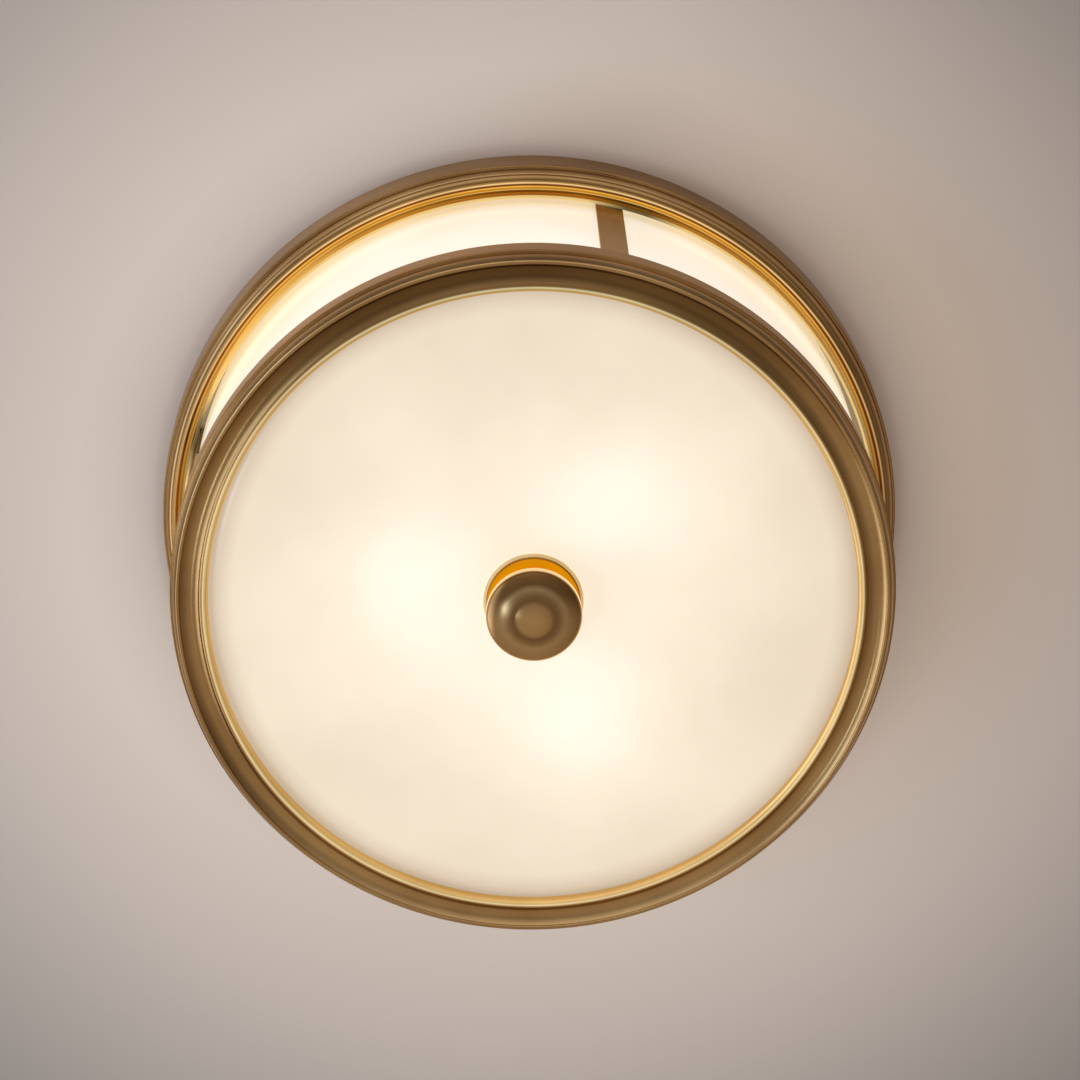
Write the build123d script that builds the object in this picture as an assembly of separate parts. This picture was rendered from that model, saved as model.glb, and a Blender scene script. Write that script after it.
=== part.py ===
from build123d import *
import os
from math import acos, asin, cos, degrees, hypot, radians, sin, sqrt

# Flush ceiling light: moulded brass canopy, brass cage with an opal glass drum, three lamps, finial.
# Millimetres. The ceiling is the plane z = 0, the light hangs below it, and Z is the centre line.

# Canopy: the moulded ring that lies against the ceiling, wider than the cage all round
canopy_overhang = 12.8
canopy_wall = 1.2
canopy_wall_height = 22.6
canopy_height = 34.0
ceiling_gap = 0.4
ledge_width = 8.8
ledge_thickness = 1.2

# Ceiling pan: a white enamelled steel dish inside the canopy ring
pan_sheet = 1.0
pan_flange_inset = 1.7
dish_glass_gap = 7.9
dish_depth = 18.0

# Cage: top hoop, four straps and the moulded lower ring
cage_radius = 203.2
cage_wall = 1.3
hoop_top = 24.0
hoop_bottom = 43.0
strap_count = 4
strap_angle = -69.7
strap_width = 15.9
strap_thickness = 1.6
ring_top = 139.3
ring_band_height = 14.5
ring_bottom = 162.4
ring_width = 21.6

# Opal glass drum
glass_drop = 154.5
glass_wall = 4.5
glass_shoulder = 24.0
glass_strap_gap = 1.9
glass_hole_radius = 5.5

# Finial stack under the glass
knob_radius = 26.7
collar_radius = 25.9
plate_radius = 26.4
plate_thickness = 1.6
washer_overhang = 1.7
nylon_thickness = 1.0
collar_height = 15.0
knob_rim_height = 6.4
knob_crown = 7.5
boss_radius = 11.4
boss_height = 1.3

# Threaded centre rod, one quarter inch with 27 threads to the inch
rod_radius = 3.175
thread_pitch = 25.4 / 27.0
finial_turns = 12
rod_engagement = 13.0
running_clearance = 0.06

# Crossbar that is screwed to the outlet box
bar_length = 116.0
bar_width = 22.0
bar_thickness = 2.5
slot_spacing = 88.9
slot_length = 16.0
slot_width = 5.2

# Lamps and lampholders, three round the centre line
lamp_count = 3
lamp_circle = 78.0
lamp_angle = 74.6
lamp_length = 104.0
bulb_radius = 30.0
bulb_wall = 1.0
cap_radius = 13.05
cap_length = 25.0
cap_groove = 0.55
cap_pitch = 3.629
cap_turns = 5
insulator_radius = 9.0
insulator_height = 5.0
tip_radius = 4.6
tip_height = 1.8
holder_radius = 19.0
holder_screw_clearance = 0.4
holder_flange_edge = 5.0
holder_flange = 4.0
holder_height = 33.0
holder_floor = 5.4
wire_socket = 3.0
shell_wall = 0.5
shell_clearance = 0.3
contact_lift = 1.6

# Wiring inside the pan
wire_radius = 1.1
wire_bend = 5.0
eye_thickness = 2.6
black_circle = 88.0
white_circle = 68.0
wire_pair = 3.2
tail_offset = 8.0
nut_length = 20.0
nut_radius = 6.0
insulation_inner = 99.0
insulation_thickness = 11.0

# Clearances and small hardware
seat_gap = 0.3
hole_clearance = 0.25
screw_radius = 2.0
screw_head_radius = 3.6
screw_head_height = 2.2
rivet_count = 8
rivet_radius = 1.6
rivet_head_radius = 3.0
rivet_head_height = 1.1
hex_across_flats = 11.1
hex_height = 4.8
washer_radius = 11.0
washer_thickness = 1.2
pad_thickness = 1.5
bumper_radius = 3.5

# The lampholder's screws stand clear of its cup, and its flange reaches past them
holder_screw_offset = holder_radius + screw_head_radius + holder_screw_clearance
holder_flange_radius = holder_screw_offset + holder_flange_edge

# Heights worked out from the sizes above, all measured upwards, so that below the ceiling is negative
pan_under = -dish_depth
pan_floor = pan_under + pan_sheet
flange_under = -pan_sheet
hook_top = -(pan_sheet + 1.9 + seat_gap)
hook_under = hook_top - strap_thickness
glass_rim = hook_under - pad_thickness
glass_under = -glass_drop
glass_floor = glass_under + glass_wall
ring_floor = -(ring_bottom - 6.0)
strap_foot = -(ring_top + ring_band_height - 1.4)
plate_top = glass_under - nylon_thickness
plate_under = plate_top - plate_thickness
collar_under = plate_under - collar_height
rim_under = collar_under - knob_rim_height
crown_foot = degrees(acos((boss_radius + 0.6) / knob_radius))
crown_under = rim_under - knob_crown * sin(radians(crown_foot))
boss_under = crown_under - boss_height
rod_end = plate_under - rod_engagement

# Radii that follow from one another
canopy_radius = cage_radius + canopy_overhang
ring_opening_radius = cage_radius - ring_width
cage_inner = cage_radius - cage_wall
strap_outer = cage_inner
strap_inner = strap_outer - strap_thickness
glass_radius = strap_inner - glass_strap_gap
glass_inner = glass_radius - glass_wall
dish_radius = glass_inner - dish_glass_gap
pan_radius = canopy_radius - pan_flange_inset
shell_inner = cap_radius + shell_clearance
shell_outer = shell_inner + shell_wall
rod_bore = rod_radius + running_clearance


def write(name, shape):
    """Save one node as its own file."""
    export_step(shape, f"parts/{name}.step")


def spun(*edges):
    """Turn a closed outline, drawn in the XZ plane, once round Z."""
    with BuildPart() as part:
        with BuildSketch(Plane.XZ):
            with BuildLine():
                for edge in edges:
                    add(edge)
            make_face()
        revolve(axis=Axis.Z)
    return part.part


def spun_points(*points):
    """Turn an outline of straight lines once round Z."""
    return spun(Polyline(*points, close=True))


def tube(outer, inner, top, bottom):
    """A round tube between two heights."""
    return spun_points((inner, top), (outer, top), (outer, bottom), (inner, bottom))


def rod(radius, top, bottom, x=0.0, y=0.0):
    """A plain upright cylinder between two heights."""
    return Pos(x, y, bottom) * Cylinder(radius, top - bottom, align=(Align.CENTER, Align.CENTER, Align.MIN))


def sector(outer, inner, top, bottom, width, angle):
    """A piece of a tube, as wide as an arc of the given length on its outer face."""
    spread = degrees(width / outer)
    with BuildPart() as part:
        with BuildSketch(Plane.XZ):
            with BuildLine():
                Polyline((inner, top), (outer, top), (outer, bottom), (inner, bottom), close=True)
            make_face()
        revolve(axis=Axis.Z, revolution_arc=spread)
    return part.part.rotate(Axis.Z, angle - spread / 2.0)


def dome(radius, edge, pole):
    """Arc of a sphere from a rim at one height to the centre line at another."""
    height = pole - edge
    ball = (radius ** 2 + height ** 2) / (2.0 * height)
    half = asin(radius / abs(ball)) / 2.0
    middle = (abs(ball) * sin(half), pole - ball + ball * cos(half))
    return ThreePointArc((radius, edge), middle, (0, pole))


def polar(radius, angle, sideways=0.0):
    """A point at a radius and an angle, moved sideways along the circle."""
    a = radians(angle)
    return (radius * cos(a) - sideways * sin(a), radius * sin(a) + sideways * cos(a))


def lamp_angles():
    return [lamp_angle + k * 360.0 / lamp_count for k in range(lamp_count)]


def strap_angles():
    return [strap_angle + k * 360.0 / strap_count for k in range(strap_count)]


# Canopy ring: plain wall, quirk, ovolo, small bead and a flat lip that the hoop passes through
def canopy_ring():
    lip = cage_radius + 1.0
    wall_foot = -canopy_wall_height
    low = -canopy_height
    outer = canopy_radius
    inside = outer - canopy_wall
    outline = [
        Line((outer, -ceiling_gap), (outer, wall_foot + 0.8)),
        ThreePointArc((outer, wall_foot + 0.8), (outer - 0.25, wall_foot + 0.22), (outer - 0.8, wall_foot)),
        Line((outer - 0.8, wall_foot), (outer - 1.9, wall_foot)),
        Line((outer - 1.9, wall_foot), (outer - 1.9, wall_foot - 0.9)),
        ThreePointArc(
            (outer - 1.9, wall_foot - 0.9), (outer - 2.9, wall_foot - 5.0), (outer - 5.6, low + 3.2),
        ),
        Line((outer - 5.6, low + 3.2), (outer - 6.1, low + 2.9)),
        ThreePointArc((outer - 6.1, low + 2.9), (outer - 7.2, low), (outer - 8.7, low + 1.4)),
        Line((outer - 8.7, low + 1.4), (lip, low + 1.8)),
        Line((lip, low + 1.8), (lip, low + 3.2)),
        Line((lip, low + 3.2), (outer - 7.4, low + 3.2)),
        Line((outer - 7.4, low + 3.2), (outer - 3.6, wall_foot - 0.4)),
        Line((outer - 3.6, wall_foot - 0.4), (inside, wall_foot + 1.4)),
        Line((inside, wall_foot + 1.4), (inside, -pan_sheet - ledge_thickness)),
        Line((inside, -pan_sheet - ledge_thickness), (inside - ledge_width, -pan_sheet - ledge_thickness)),
        Line((inside - ledge_width, -pan_sheet - ledge_thickness), (inside - ledge_width, -pan_sheet)),
        Line((inside - ledge_width, -pan_sheet), (inside, -pan_sheet)),
        Line((inside, -pan_sheet), (inside, -ceiling_gap)),
        Line((inside, -ceiling_gap), (outer, -ceiling_gap)),
    ]
    ring = spun(*outline)
    for x, y in rivet_places():
        ring -= rod(rivet_radius, 0.0, -5.0, x, y)
    return ring


def rivet_places():
    circle = canopy_radius - canopy_wall - ledge_width / 2.0
    return [polar(circle, 12.0 + k * 360.0 / rivet_count) for k in range(rivet_count)]


# Rivets: flush above the pan's flange, with a round head under the canopy ring's ledge
def canopy_rivets():
    under = -pan_sheet - ledge_thickness
    low = under - rivet_head_height
    solids = []
    for x, y in rivet_places():
        head = spun(
            Line((0, 0), (rivet_radius, 0)),
            Line((rivet_radius, 0), (rivet_radius, under)),
            Line((rivet_radius, under), (rivet_head_radius, under)),
            dome(rivet_head_radius, under, low),
            Line((0, low), (0, 0)),
        )
        solids.append(Pos(x, y, 0) * head)
    return Compound(children=solids)


# Ceiling pan: flat flange against the ceiling, and a dish that leaves room for the wiring above it
def ceiling_pan():
    shell = dish_radius - pan_sheet
    pan = spun_points(
        (pan_radius, 0.0), (pan_radius, flange_under), (dish_radius, flange_under),
        (dish_radius, pan_under), (0.0, pan_under), (0.0, pan_floor), (shell, pan_floor), (shell, 0.0),
    )
    pan -= rod(rod_radius + hole_clearance, 0.0, 2.0 * pan_under)
    for x, y in rivet_places():
        pan -= rod(rivet_radius, 1.0, -5.0, x, y)
    for x, y in wire_holes():
        pan -= rod(wire_radius + hole_clearance, 0.0, 2.0 * pan_under, x, y)
    for x, y in holder_screw_places():
        pan -= rod(screw_radius, 0.0, 2.0 * pan_under, x, y)
    x, y = ground_stud_place()
    pan -= rod(screw_radius, 0.0, 2.0 * pan_under, x, y)
    return pan


# Pressed fibre board that keeps the lamps' heat off the ceiling, lying on the pan's floor
def insulation_board():
    outer = dish_radius - pan_sheet - 2.0
    top = pan_floor + insulation_thickness
    return tube(outer, insulation_inner, top, pan_floor)


# Crossbar: flat steel bar with two slots for the outlet box's screws and a threaded bush for the rod
def crossbar():
    bar = Pos(0, 0, -bar_thickness / 2.0) * Box(bar_length, bar_width, bar_thickness)
    bar = fillet(bar.edges().filter_by(Axis.Z), 6.0)
    for side in (-1, 1):
        slot = extrude(SlotOverall(slot_length, slot_width), bar_thickness * 2.0, both=True)
        bar -= Pos(side * slot_spacing / 2.0, 0, 0) * slot
    bar -= rod(rod_radius, 1.0, -bar_thickness - 1.0)
    x, y = bar_screw_place()
    bar -= rod(screw_radius, 1.0, -bar_thickness - 1.0, x, y)
    return bar


def bar_screw_place():
    return (-24.0, 0.0)


def ground_stud_place():
    return (-34.0, -34.0)


# Pan-head screw pointing up, with a cross recess in its head
def screw_up(head_top, tip, x, y):
    head_low = head_top - screw_head_height
    body = spun(
        Line((0, tip), (screw_radius, tip)),
        Line((screw_radius, tip), (screw_radius, head_top)),
        Line((screw_radius, head_top), (screw_head_radius, head_top)),
        Line((screw_head_radius, head_top), (screw_head_radius, head_top - 0.8)),
        dome(screw_head_radius, head_top - 0.8, head_low),
        Line((0, head_low), (0, tip)),
    )
    for turn in (0, 90):
        body -= Pos(0, 0, head_low) * Rot(0, 0, turn) * Box(3.8, 0.8, 2.0)
    return Pos(x, y, 0) * body


# Ground screws: one in the crossbar and one in the pan, each clamping an end of the ground lead
def ground_screws():
    x, y = bar_screw_place()
    in_bar = screw_up(-bar_thickness - eye_thickness, 0.0, x, y)
    x, y = ground_stud_place()
    in_pan = Rot(180, 0, 0) * screw_up(-pan_floor - eye_thickness, -pan_under + 2.0, x, -y)
    return Compound(children=[in_bar, in_pan])


# Threaded centre rod from the crossbar down into the finial, with its end chamfered
def centre_rod():
    body = rod(rod_radius, 0.0, rod_end)
    return chamfer(body.edges().group_by(Axis.Z)[0], 0.6)


def hex_nut(top, height):
    body = extrude(RegularPolygon(hex_across_flats / 2.0, 6, major_radius=False), height)
    body = Pos(0, 0, top - height) * body
    return body - rod(rod_radius, top + 1.0, top - height - 1.0)


# Nuts on the rod: one locks it under the crossbar, one clamps the pan from below through a washer
def rod_nuts():
    upper = hex_nut(-bar_thickness, hex_height)
    lower = hex_nut(pan_under - washer_thickness, hex_height)
    return Compound(children=[upper, lower])


def pan_washer():
    return tube(washer_radius, rod_radius + hole_clearance, pan_under, pan_under - washer_thickness)


# Lampholder: white porcelain cup with a flange and two screw holes
def holder_places():
    return [polar(lamp_circle, angle) for angle in lamp_angles()]


def holder_screw_places():
    places = []
    for angle in lamp_angles():
        for side in (-1, 1):
            places.append(polar(lamp_circle, angle, side * holder_screw_offset))
    return places


def holder_body(angle):
    x, y = polar(lamp_circle, angle)
    top = pan_under
    low = top - holder_height
    mouth = shell_outer
    floor = top - holder_floor
    rim = holder_flange_radius
    under = top - holder_flange
    cup = spun(
        Line((0, top), (rim, top)),
        Line((rim, top), (rim, under + 1.0)),
        Line((rim, under + 1.0), (rim - 1.0, under)),
        Line((rim - 1.0, under), (holder_radius, under)),
        Line((holder_radius, under), (holder_radius, low + 1.5)),
        ThreePointArc(
            (holder_radius, low + 1.5), (holder_radius - 0.44, low + 0.44), (holder_radius - 1.5, low),
        ),
        Line((holder_radius - 1.5, low), (mouth, low)),
        Line((mouth, low), (mouth, floor)),
        Line((mouth, floor), (0, floor)),
        Line((0, floor), (0, top)),
    )
    cup = Pos(x, y, 0) * cup
    for side in (-1, 1):
        sx, sy = polar(lamp_circle, angle, side * holder_screw_offset)
        cup -= rod(screw_radius, top + 1.0, top - holder_flange - 1.0, sx, sy)
    for hx, hy in wire_holes():
        if hypot(hx - x, hy - y) < holder_flange_radius:
            cup -= rod(wire_radius, top + 1.0, top - wire_socket, hx, hy)
    return cup


# Screw shell: thin brass liner of the holder, rolled in rings like the lamp's cap, with a floor
def holder_shell(angle):
    x, y = polar(lamp_circle, angle)
    floor = pan_under - holder_floor
    low = pan_under - holder_height + 1.0
    ring = tube(shell_outer, shell_inner, floor, low)
    base = tube(shell_outer, 6.0, floor, floor - shell_wall)
    return Pos(x, y, 0) * (ring + base)


# Centre contact: a bent brass leaf in the bottom of the holder
def holder_contact(angle):
    x, y = polar(lamp_circle, angle)
    floor = pan_under - holder_floor
    disc = rod(4.6, floor, floor - 0.5)
    leaf = spun(
        Line((0, floor - 0.5), (3.0, floor - 0.5)),
        dome(3.0, floor - 0.5, floor - contact_lift),
        Line((0, floor - contact_lift), (0, floor - 0.5)),
    )
    return Pos(x, y, 0) * (disc + leaf)


def holder_screws():
    head_top = pan_under - holder_flange
    tip = pan_floor + 1.4
    return Compound(children=[screw_up(head_top, tip, x, y) for x, y in holder_screw_places()])


# Lamp: solder tip on a black insulator, brass screw cap, frosted glass bulb
def lamp_tip_height():
    return pan_under - holder_floor - contact_lift - seat_gap


def lamp_tip(angle):
    x, y = polar(lamp_circle, angle)
    top = lamp_tip_height()
    solid = spun(
        dome(tip_radius, top - tip_height, top),
        Line((tip_radius, top - tip_height), (0, top - tip_height)),
        Line((0, top - tip_height), (0, top)),
    )
    return Pos(x, y, 0) * solid


def lamp_insulator(angle):
    x, y = polar(lamp_circle, angle)
    top = lamp_tip_height() - tip_height
    foot = lamp_tip_height() - insulator_height
    solid = spun_points((0, top), (tip_radius + 0.6, top), (insulator_radius, foot), (0, foot))
    return Pos(x, y, 0) * solid


def lamp_cap(angle):
    x, y = polar(lamp_circle, angle)
    top = lamp_tip_height() - insulator_height
    foot = top - cap_length
    root = cap_radius - cap_groove
    z = top - 2.4
    edges = [Line((0, top), (insulator_radius, top)), Line((insulator_radius, top), (root, z))]
    for turn in range(cap_turns):
        edges.append(ThreePointArc((root, z), (cap_radius, z - cap_pitch / 2.0), (root, z - cap_pitch)))
        z -= cap_pitch
    edges.append(Line((root, z), (cap_radius, z - 0.8)))
    edges.append(Line((cap_radius, z - 0.8), (cap_radius, foot)))
    edges.append(Line((cap_radius, foot), (0, foot)))
    edges.append(Line((0, foot), (0, top)))
    return Pos(x, y, 0) * spun(*edges)


def lamp_bulb(angle):
    x, y = polar(lamp_circle, angle)
    neck_top = lamp_tip_height() - insulator_height - cap_length
    low = lamp_tip_height() - lamp_length
    centre = low + bulb_radius
    neck = cap_radius - 0.6
    wall = bulb_wall
    slope = radians(24)
    below = radians(-33)
    side = (bulb_radius * cos(slope), centre + bulb_radius * sin(slope))
    round_side = (bulb_radius * cos(below), centre + bulb_radius * sin(below))
    inner = bulb_radius - wall
    inner_side = (inner * cos(slope), centre + inner * sin(slope))
    inner_round = (inner * cos(below), centre + inner * sin(below))
    shoulder = (neck + 2.2, neck_top - 9.0)
    solid = spun(
        Line((0, neck_top), (neck, neck_top)),
        Line((neck, neck_top), (neck, neck_top - 2.0)),
        Spline((neck, neck_top - 2.0), shoulder, side, tangents=((0, -1), (sin(slope), -cos(slope)))),
        ThreePointArc(side, round_side, (0, low)),
        Line((0, low), (0, low + wall)),
        ThreePointArc((0, low + wall), inner_round, inner_side),
        Spline(
            inner_side, (shoulder[0] - wall, shoulder[1]), (neck - wall, neck_top - 3.0),
            tangents=((-sin(slope), cos(slope)), (0, 1)),
        ),
        Line((neck - wall, neck_top - 3.0), (0, neck_top - 3.0)),
        Line((0, neck_top - 3.0), (0, neck_top)),
    )
    return Pos(x, y, 0) * solid


# Wiring: black and white leads link holder to holder above the pan, and a tail of each ends in a nut
def wire_holes():
    holes = []
    angles = lamp_angles()
    for circle in (black_circle, white_circle):
        for k, angle in enumerate(angles):
            if k > 0:
                holes.append(polar(circle, angle, -wire_pair))
            if k < lamp_count - 1:
                holes.append(polar(circle, angle, wire_pair))
    holes.append(polar(black_circle, angles[-1], 2.0 * tail_offset))
    holes.append(polar(white_circle, angles[-1], wire_pair))
    return holes


def wire_level():
    return pan_floor + 2.0 + wire_bend


def link(circle, first, second):
    """One lead: up out of a holder, round inside the pan and down into the next holder."""
    level = wire_level()
    root = pan_under - wire_socket
    xa, ya = polar(circle, first, wire_pair)
    xb, yb = polar(circle, second, -wire_pair)
    ta = Vector(-sin(radians(first)), cos(radians(first)), 0)
    tb = Vector(-sin(radians(second)), cos(radians(second)), 0)
    bend = wire_bend
    corner = bend * (1.0 - sqrt(0.5))
    start = Vector(xa, ya, root)
    rise = Vector(xa, ya, level - bend)
    turned = Vector(xa, ya, level) + ta * bend
    end = Vector(xb, yb, root)
    fall = Vector(xb, yb, level - bend)
    lead_in = Vector(xb, yb, level) - tb * bend
    path = Wire([
        Line(start, rise).edge(),
        ThreePointArc(rise, Vector(xa, ya, level - corner) + ta * corner, turned).edge(),
        TangentArc(turned, lead_in, tangent=ta).edge(),
        ThreePointArc(lead_in, Vector(xb, yb, level - corner) - tb * corner, fall).edge(),
        Line(fall, end).edge(),
    ])
    return sweep(Plane(start, z_dir=(0, 0, 1)) * Circle(wire_radius), path=path)


def tail(circle, angle, sideways):
    """The last lead: up out of the end holder and straight inwards into its wire nut."""
    level = wire_level()
    x, y = polar(circle, angle, sideways)
    nx, ny = polar(nut_mouth() - 6.0, angle, sideways)
    root = pan_under - wire_socket
    path = FilletPolyline((x, y, root), (x, y, level), (nx, ny, level), radius=wire_bend)
    start = Plane((x, y, root), z_dir=(0, 0, 1))
    return sweep(start * Circle(wire_radius), path=path)


def nut_mouth():
    return white_circle - 16.0


def leads(circle, sideways):
    angles = lamp_angles()
    solids = [link(circle, angles[k], angles[k + 1]) for k in range(lamp_count - 1)]
    solids.append(tail(circle, angles[-1], sideways))
    return Compound(children=solids)


# Wire nut: ribbed plastic cone over the end of a tail
def wire_nut(sideways):
    angle = lamp_angles()[-1]
    body = spun(
        Line((0, 0), (nut_radius * 0.52, 0)),
        ThreePointArc((nut_radius * 0.52, 0), (nut_radius * 0.66, 0.5), (nut_radius * 0.72, 1.6)),
        Line((nut_radius * 0.72, 1.6), (nut_radius * 0.92, nut_length - 3.0)),
        Line((nut_radius * 0.92, nut_length - 3.0), (nut_radius, nut_length)),
        Line((nut_radius, nut_length), (nut_radius - 1.3, nut_length)),
        Line((nut_radius - 1.3, nut_length), (wire_radius, nut_length - 6.0)),
        Line((wire_radius, nut_length - 6.0), (0, nut_length - 6.0)),
        Line((0, nut_length - 6.0), (0, 0)),
    )
    x, y = polar(nut_mouth(), angle, sideways)
    start = Vector(x, y, wire_level())
    out = Vector(cos(radians(angle)), sin(radians(angle)), 0)
    place = Plane(start - out * nut_length, x_dir=(0, 0, 1), z_dir=out)
    return place * body


# Ground lead: bare copper from the crossbar's green screw to the screw in the pan
def ground_lead():
    bx, by = bar_screw_place()
    gx, gy = ground_stud_place()
    half = eye_thickness / 2.0
    top = -bar_thickness - half
    low = pan_floor + half
    inset = screw_radius + wire_radius
    path = FilletPolyline(
        (bx, by - inset, top), (bx, by - 13.0, top), (gx, gy + 12.0, low), (gx, gy + inset, low),
        radius=3.6,
    )
    start = Plane((bx, by - inset, top), z_dir=(0, -1, 0))
    lead = sweep(start * Circle(wire_radius), path=path)
    upper = rod(screw_head_radius, top + half, top - half, bx, by)
    upper -= rod(screw_radius, 1.0, 2.0 * pan_under, bx, by)
    lower = rod(screw_head_radius, low + half, low - half, gx, gy)
    lower -= rod(screw_radius, 1.0, 2.0 * pan_under, gx, gy)
    return lead + upper + lower


# Bumpers under the pan's flange that the cage is drawn up against
def stop_bumpers():
    circle = (glass_inner + glass_radius) / 2.0
    low = hook_top + seat_gap
    solids = []
    for angle in strap_angles():
        x, y = polar(circle, angle)
        solids.append(rod(bumper_radius, flange_under, low, x, y))
    return Compound(children=solids)


# Top hoop of the cage, with a rounded lower edge
def top_hoop():
    mid = (cage_radius + cage_inner) / 2.0
    half = cage_wall / 2.0
    return spun(
        Line((cage_inner, -hoop_top), (cage_radius, -hoop_top)),
        Line((cage_radius, -hoop_top), (cage_radius, -hoop_bottom + half)),
        ThreePointArc(
            (cage_radius, -hoop_bottom + half), (mid, -hoop_bottom), (cage_inner, -hoop_bottom + half),
        ),
        Line((cage_inner, -hoop_bottom + half), (cage_inner, -hoop_top)),
    )


# Strap: flat brass strip, hooked inwards over the glass at the top, brazed to the hoop and the ring
def strap(angle):
    upright = sector(strap_outer, strap_inner, hook_top, strap_foot, strap_width, angle)
    hook = sector(strap_outer, glass_inner, hook_top, hook_under, strap_width, angle)
    return upright + hook


def strap_pads():
    solids = [
        sector(glass_radius, glass_inner, hook_under, glass_rim, strap_width - 2.0, angle)
        for angle in strap_angles()
    ]
    return Compound(children=solids)


# Lower ring: plain band, quirk, rounded nose, narrow fillet, broad shallow cove and a rolled bead
def lower_ring():
    top = -ring_top
    band = top - ring_band_height
    low = -ring_bottom
    outer = cage_radius
    bead = 2.8
    bead_x = ring_opening_radius + bead
    bead_z = low + 0.2 + bead
    crease = (bead_x + bead * cos(radians(35)), bead_z - bead * sin(radians(35)))
    lip_top = ring_floor + 0.5
    outline = [
        Line((cage_inner, top), (outer - 0.4, top)),
        ThreePointArc((outer - 0.4, top), (outer - 0.12, top - 0.12), (outer, top - 0.4)),
        Line((outer, top - 0.4), (outer, band + 0.7)),
        ThreePointArc((outer, band + 0.7), (outer - 0.2, band + 0.2), (outer - 0.7, band)),
        Line((outer - 0.7, band), (outer - 1.8, band - 0.1)),
        ThreePointArc((outer - 1.8, band - 0.1), (outer - 2.03, band - 4.5), (outer - 4.0, low + 0.1)),
        Line((outer - 4.0, low + 0.1), (outer - 4.4, low)),
        Line((outer - 4.4, low), (outer - 5.3, low)),
        ThreePointArc((outer - 5.3, low), (outer - 5.8, low + 0.3), (outer - 6.0, low + 1.0)),
        ThreePointArc((outer - 6.0, low + 1.0), (outer - 11.2, low + 3.3), crease),
        ThreePointArc(
            crease, (bead_x - bead * 0.4, bead_z - bead * 0.9165), (ring_opening_radius, bead_z),
        ),
        Line((ring_opening_radius, bead_z), (ring_opening_radius, lip_top)),
        Line((ring_opening_radius, lip_top), (ring_opening_radius + 1.5, lip_top)),
        Line((ring_opening_radius + 1.5, lip_top), (ring_opening_radius + 1.5, ring_floor)),
        Line((ring_opening_radius + 1.5, ring_floor), (strap_inner - 0.7, ring_floor)),
        Line((strap_inner - 0.7, ring_floor), (strap_inner - 0.7, strap_foot)),
        Line((strap_inner - 0.7, strap_foot), (cage_inner, strap_foot)),
        Line((cage_inner, strap_foot), (cage_inner, top)),
    ]
    return spun(*outline)


# Glass drum: open at the top, flat below, with a round shoulder and a hole for the rod
def glass_outline(hole):
    centre_x = glass_radius - glass_shoulder
    centre_z = glass_under + glass_shoulder
    inner = glass_shoulder - glass_wall
    diagonal = sqrt(0.5)
    rim = 1.2
    corner = rim * (1.0 - diagonal)
    return [
        Line((hole, glass_under), (centre_x, glass_under)),
        ThreePointArc(
            (centre_x, glass_under),
            (centre_x + glass_shoulder * diagonal, centre_z - glass_shoulder * diagonal),
            (glass_radius, centre_z),
        ),
        Line((glass_radius, centre_z), (glass_radius, glass_rim - rim)),
        ThreePointArc(
            (glass_radius, glass_rim - rim), (glass_radius - corner, glass_rim - corner),
            (glass_radius - rim, glass_rim),
        ),
        Line((glass_radius - rim, glass_rim), (glass_inner + rim, glass_rim)),
        ThreePointArc(
            (glass_inner + rim, glass_rim), (glass_inner + corner, glass_rim - corner),
            (glass_inner, glass_rim - rim),
        ),
        Line((glass_inner, glass_rim - rim), (glass_inner, centre_z)),
        ThreePointArc(
            (glass_inner, centre_z), (centre_x + inner * diagonal, centre_z - inner * diagonal),
            (centre_x, glass_floor),
        ),
        Line((centre_x, glass_floor), (hole, glass_floor)),
        Line((hole, glass_floor), (hole, glass_under)),
    ]


def glass_drum():
    return spun(*glass_outline(glass_hole_radius))


# Soft gasket between the lower ring and the glass's shoulder
def ring_gasket():
    inner = ring_opening_radius + 2.2
    outer = inner + 6.5
    centre_x = glass_radius - glass_shoulder
    centre_z = glass_under + glass_shoulder

    def under_glass(x):
        return centre_z - sqrt(glass_shoulder ** 2 - (x - centre_x) ** 2)

    middle = (inner + outer) / 2.0
    return spun(
        Line((inner, ring_floor), (outer, ring_floor)),
        Line((outer, ring_floor), (outer, under_glass(outer))),
        ThreePointArc(
            (outer, under_glass(outer)), (middle, under_glass(middle)), (inner, under_glass(inner)),
        ),
        Line((inner, under_glass(inner)), (inner, ring_floor)),
    )


# Fibre bush that lines the glass's hole, with a flange inside the drum
def glass_bush():
    bore = rod_radius + 0.45
    top = glass_floor + 1.2
    return spun_points(
        (bore, top), (glass_hole_radius + 3.5, top), (glass_hole_radius + 3.5, glass_floor),
        (glass_hole_radius, glass_floor), (glass_hole_radius, glass_under), (bore, glass_under),
    )


# Finial stack: nylon washer, plate, collar and knob
def nylon_washer():
    return tube(plate_radius + washer_overhang, rod_radius + 0.45, glass_under, plate_top)


def finial_plate():
    bore = rod_radius + 0.45
    edge = plate_thickness / 2.0
    middle = plate_top - edge
    return spun(
        Line((bore, plate_top), (plate_radius - edge, plate_top)),
        ThreePointArc(
            (plate_radius - edge, plate_top), (plate_radius, middle), (plate_radius - edge, plate_under),
        ),
        Line((plate_radius - edge, plate_under), (bore, plate_under)),
        Line((bore, plate_under), (bore, plate_top)),
    )


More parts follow.
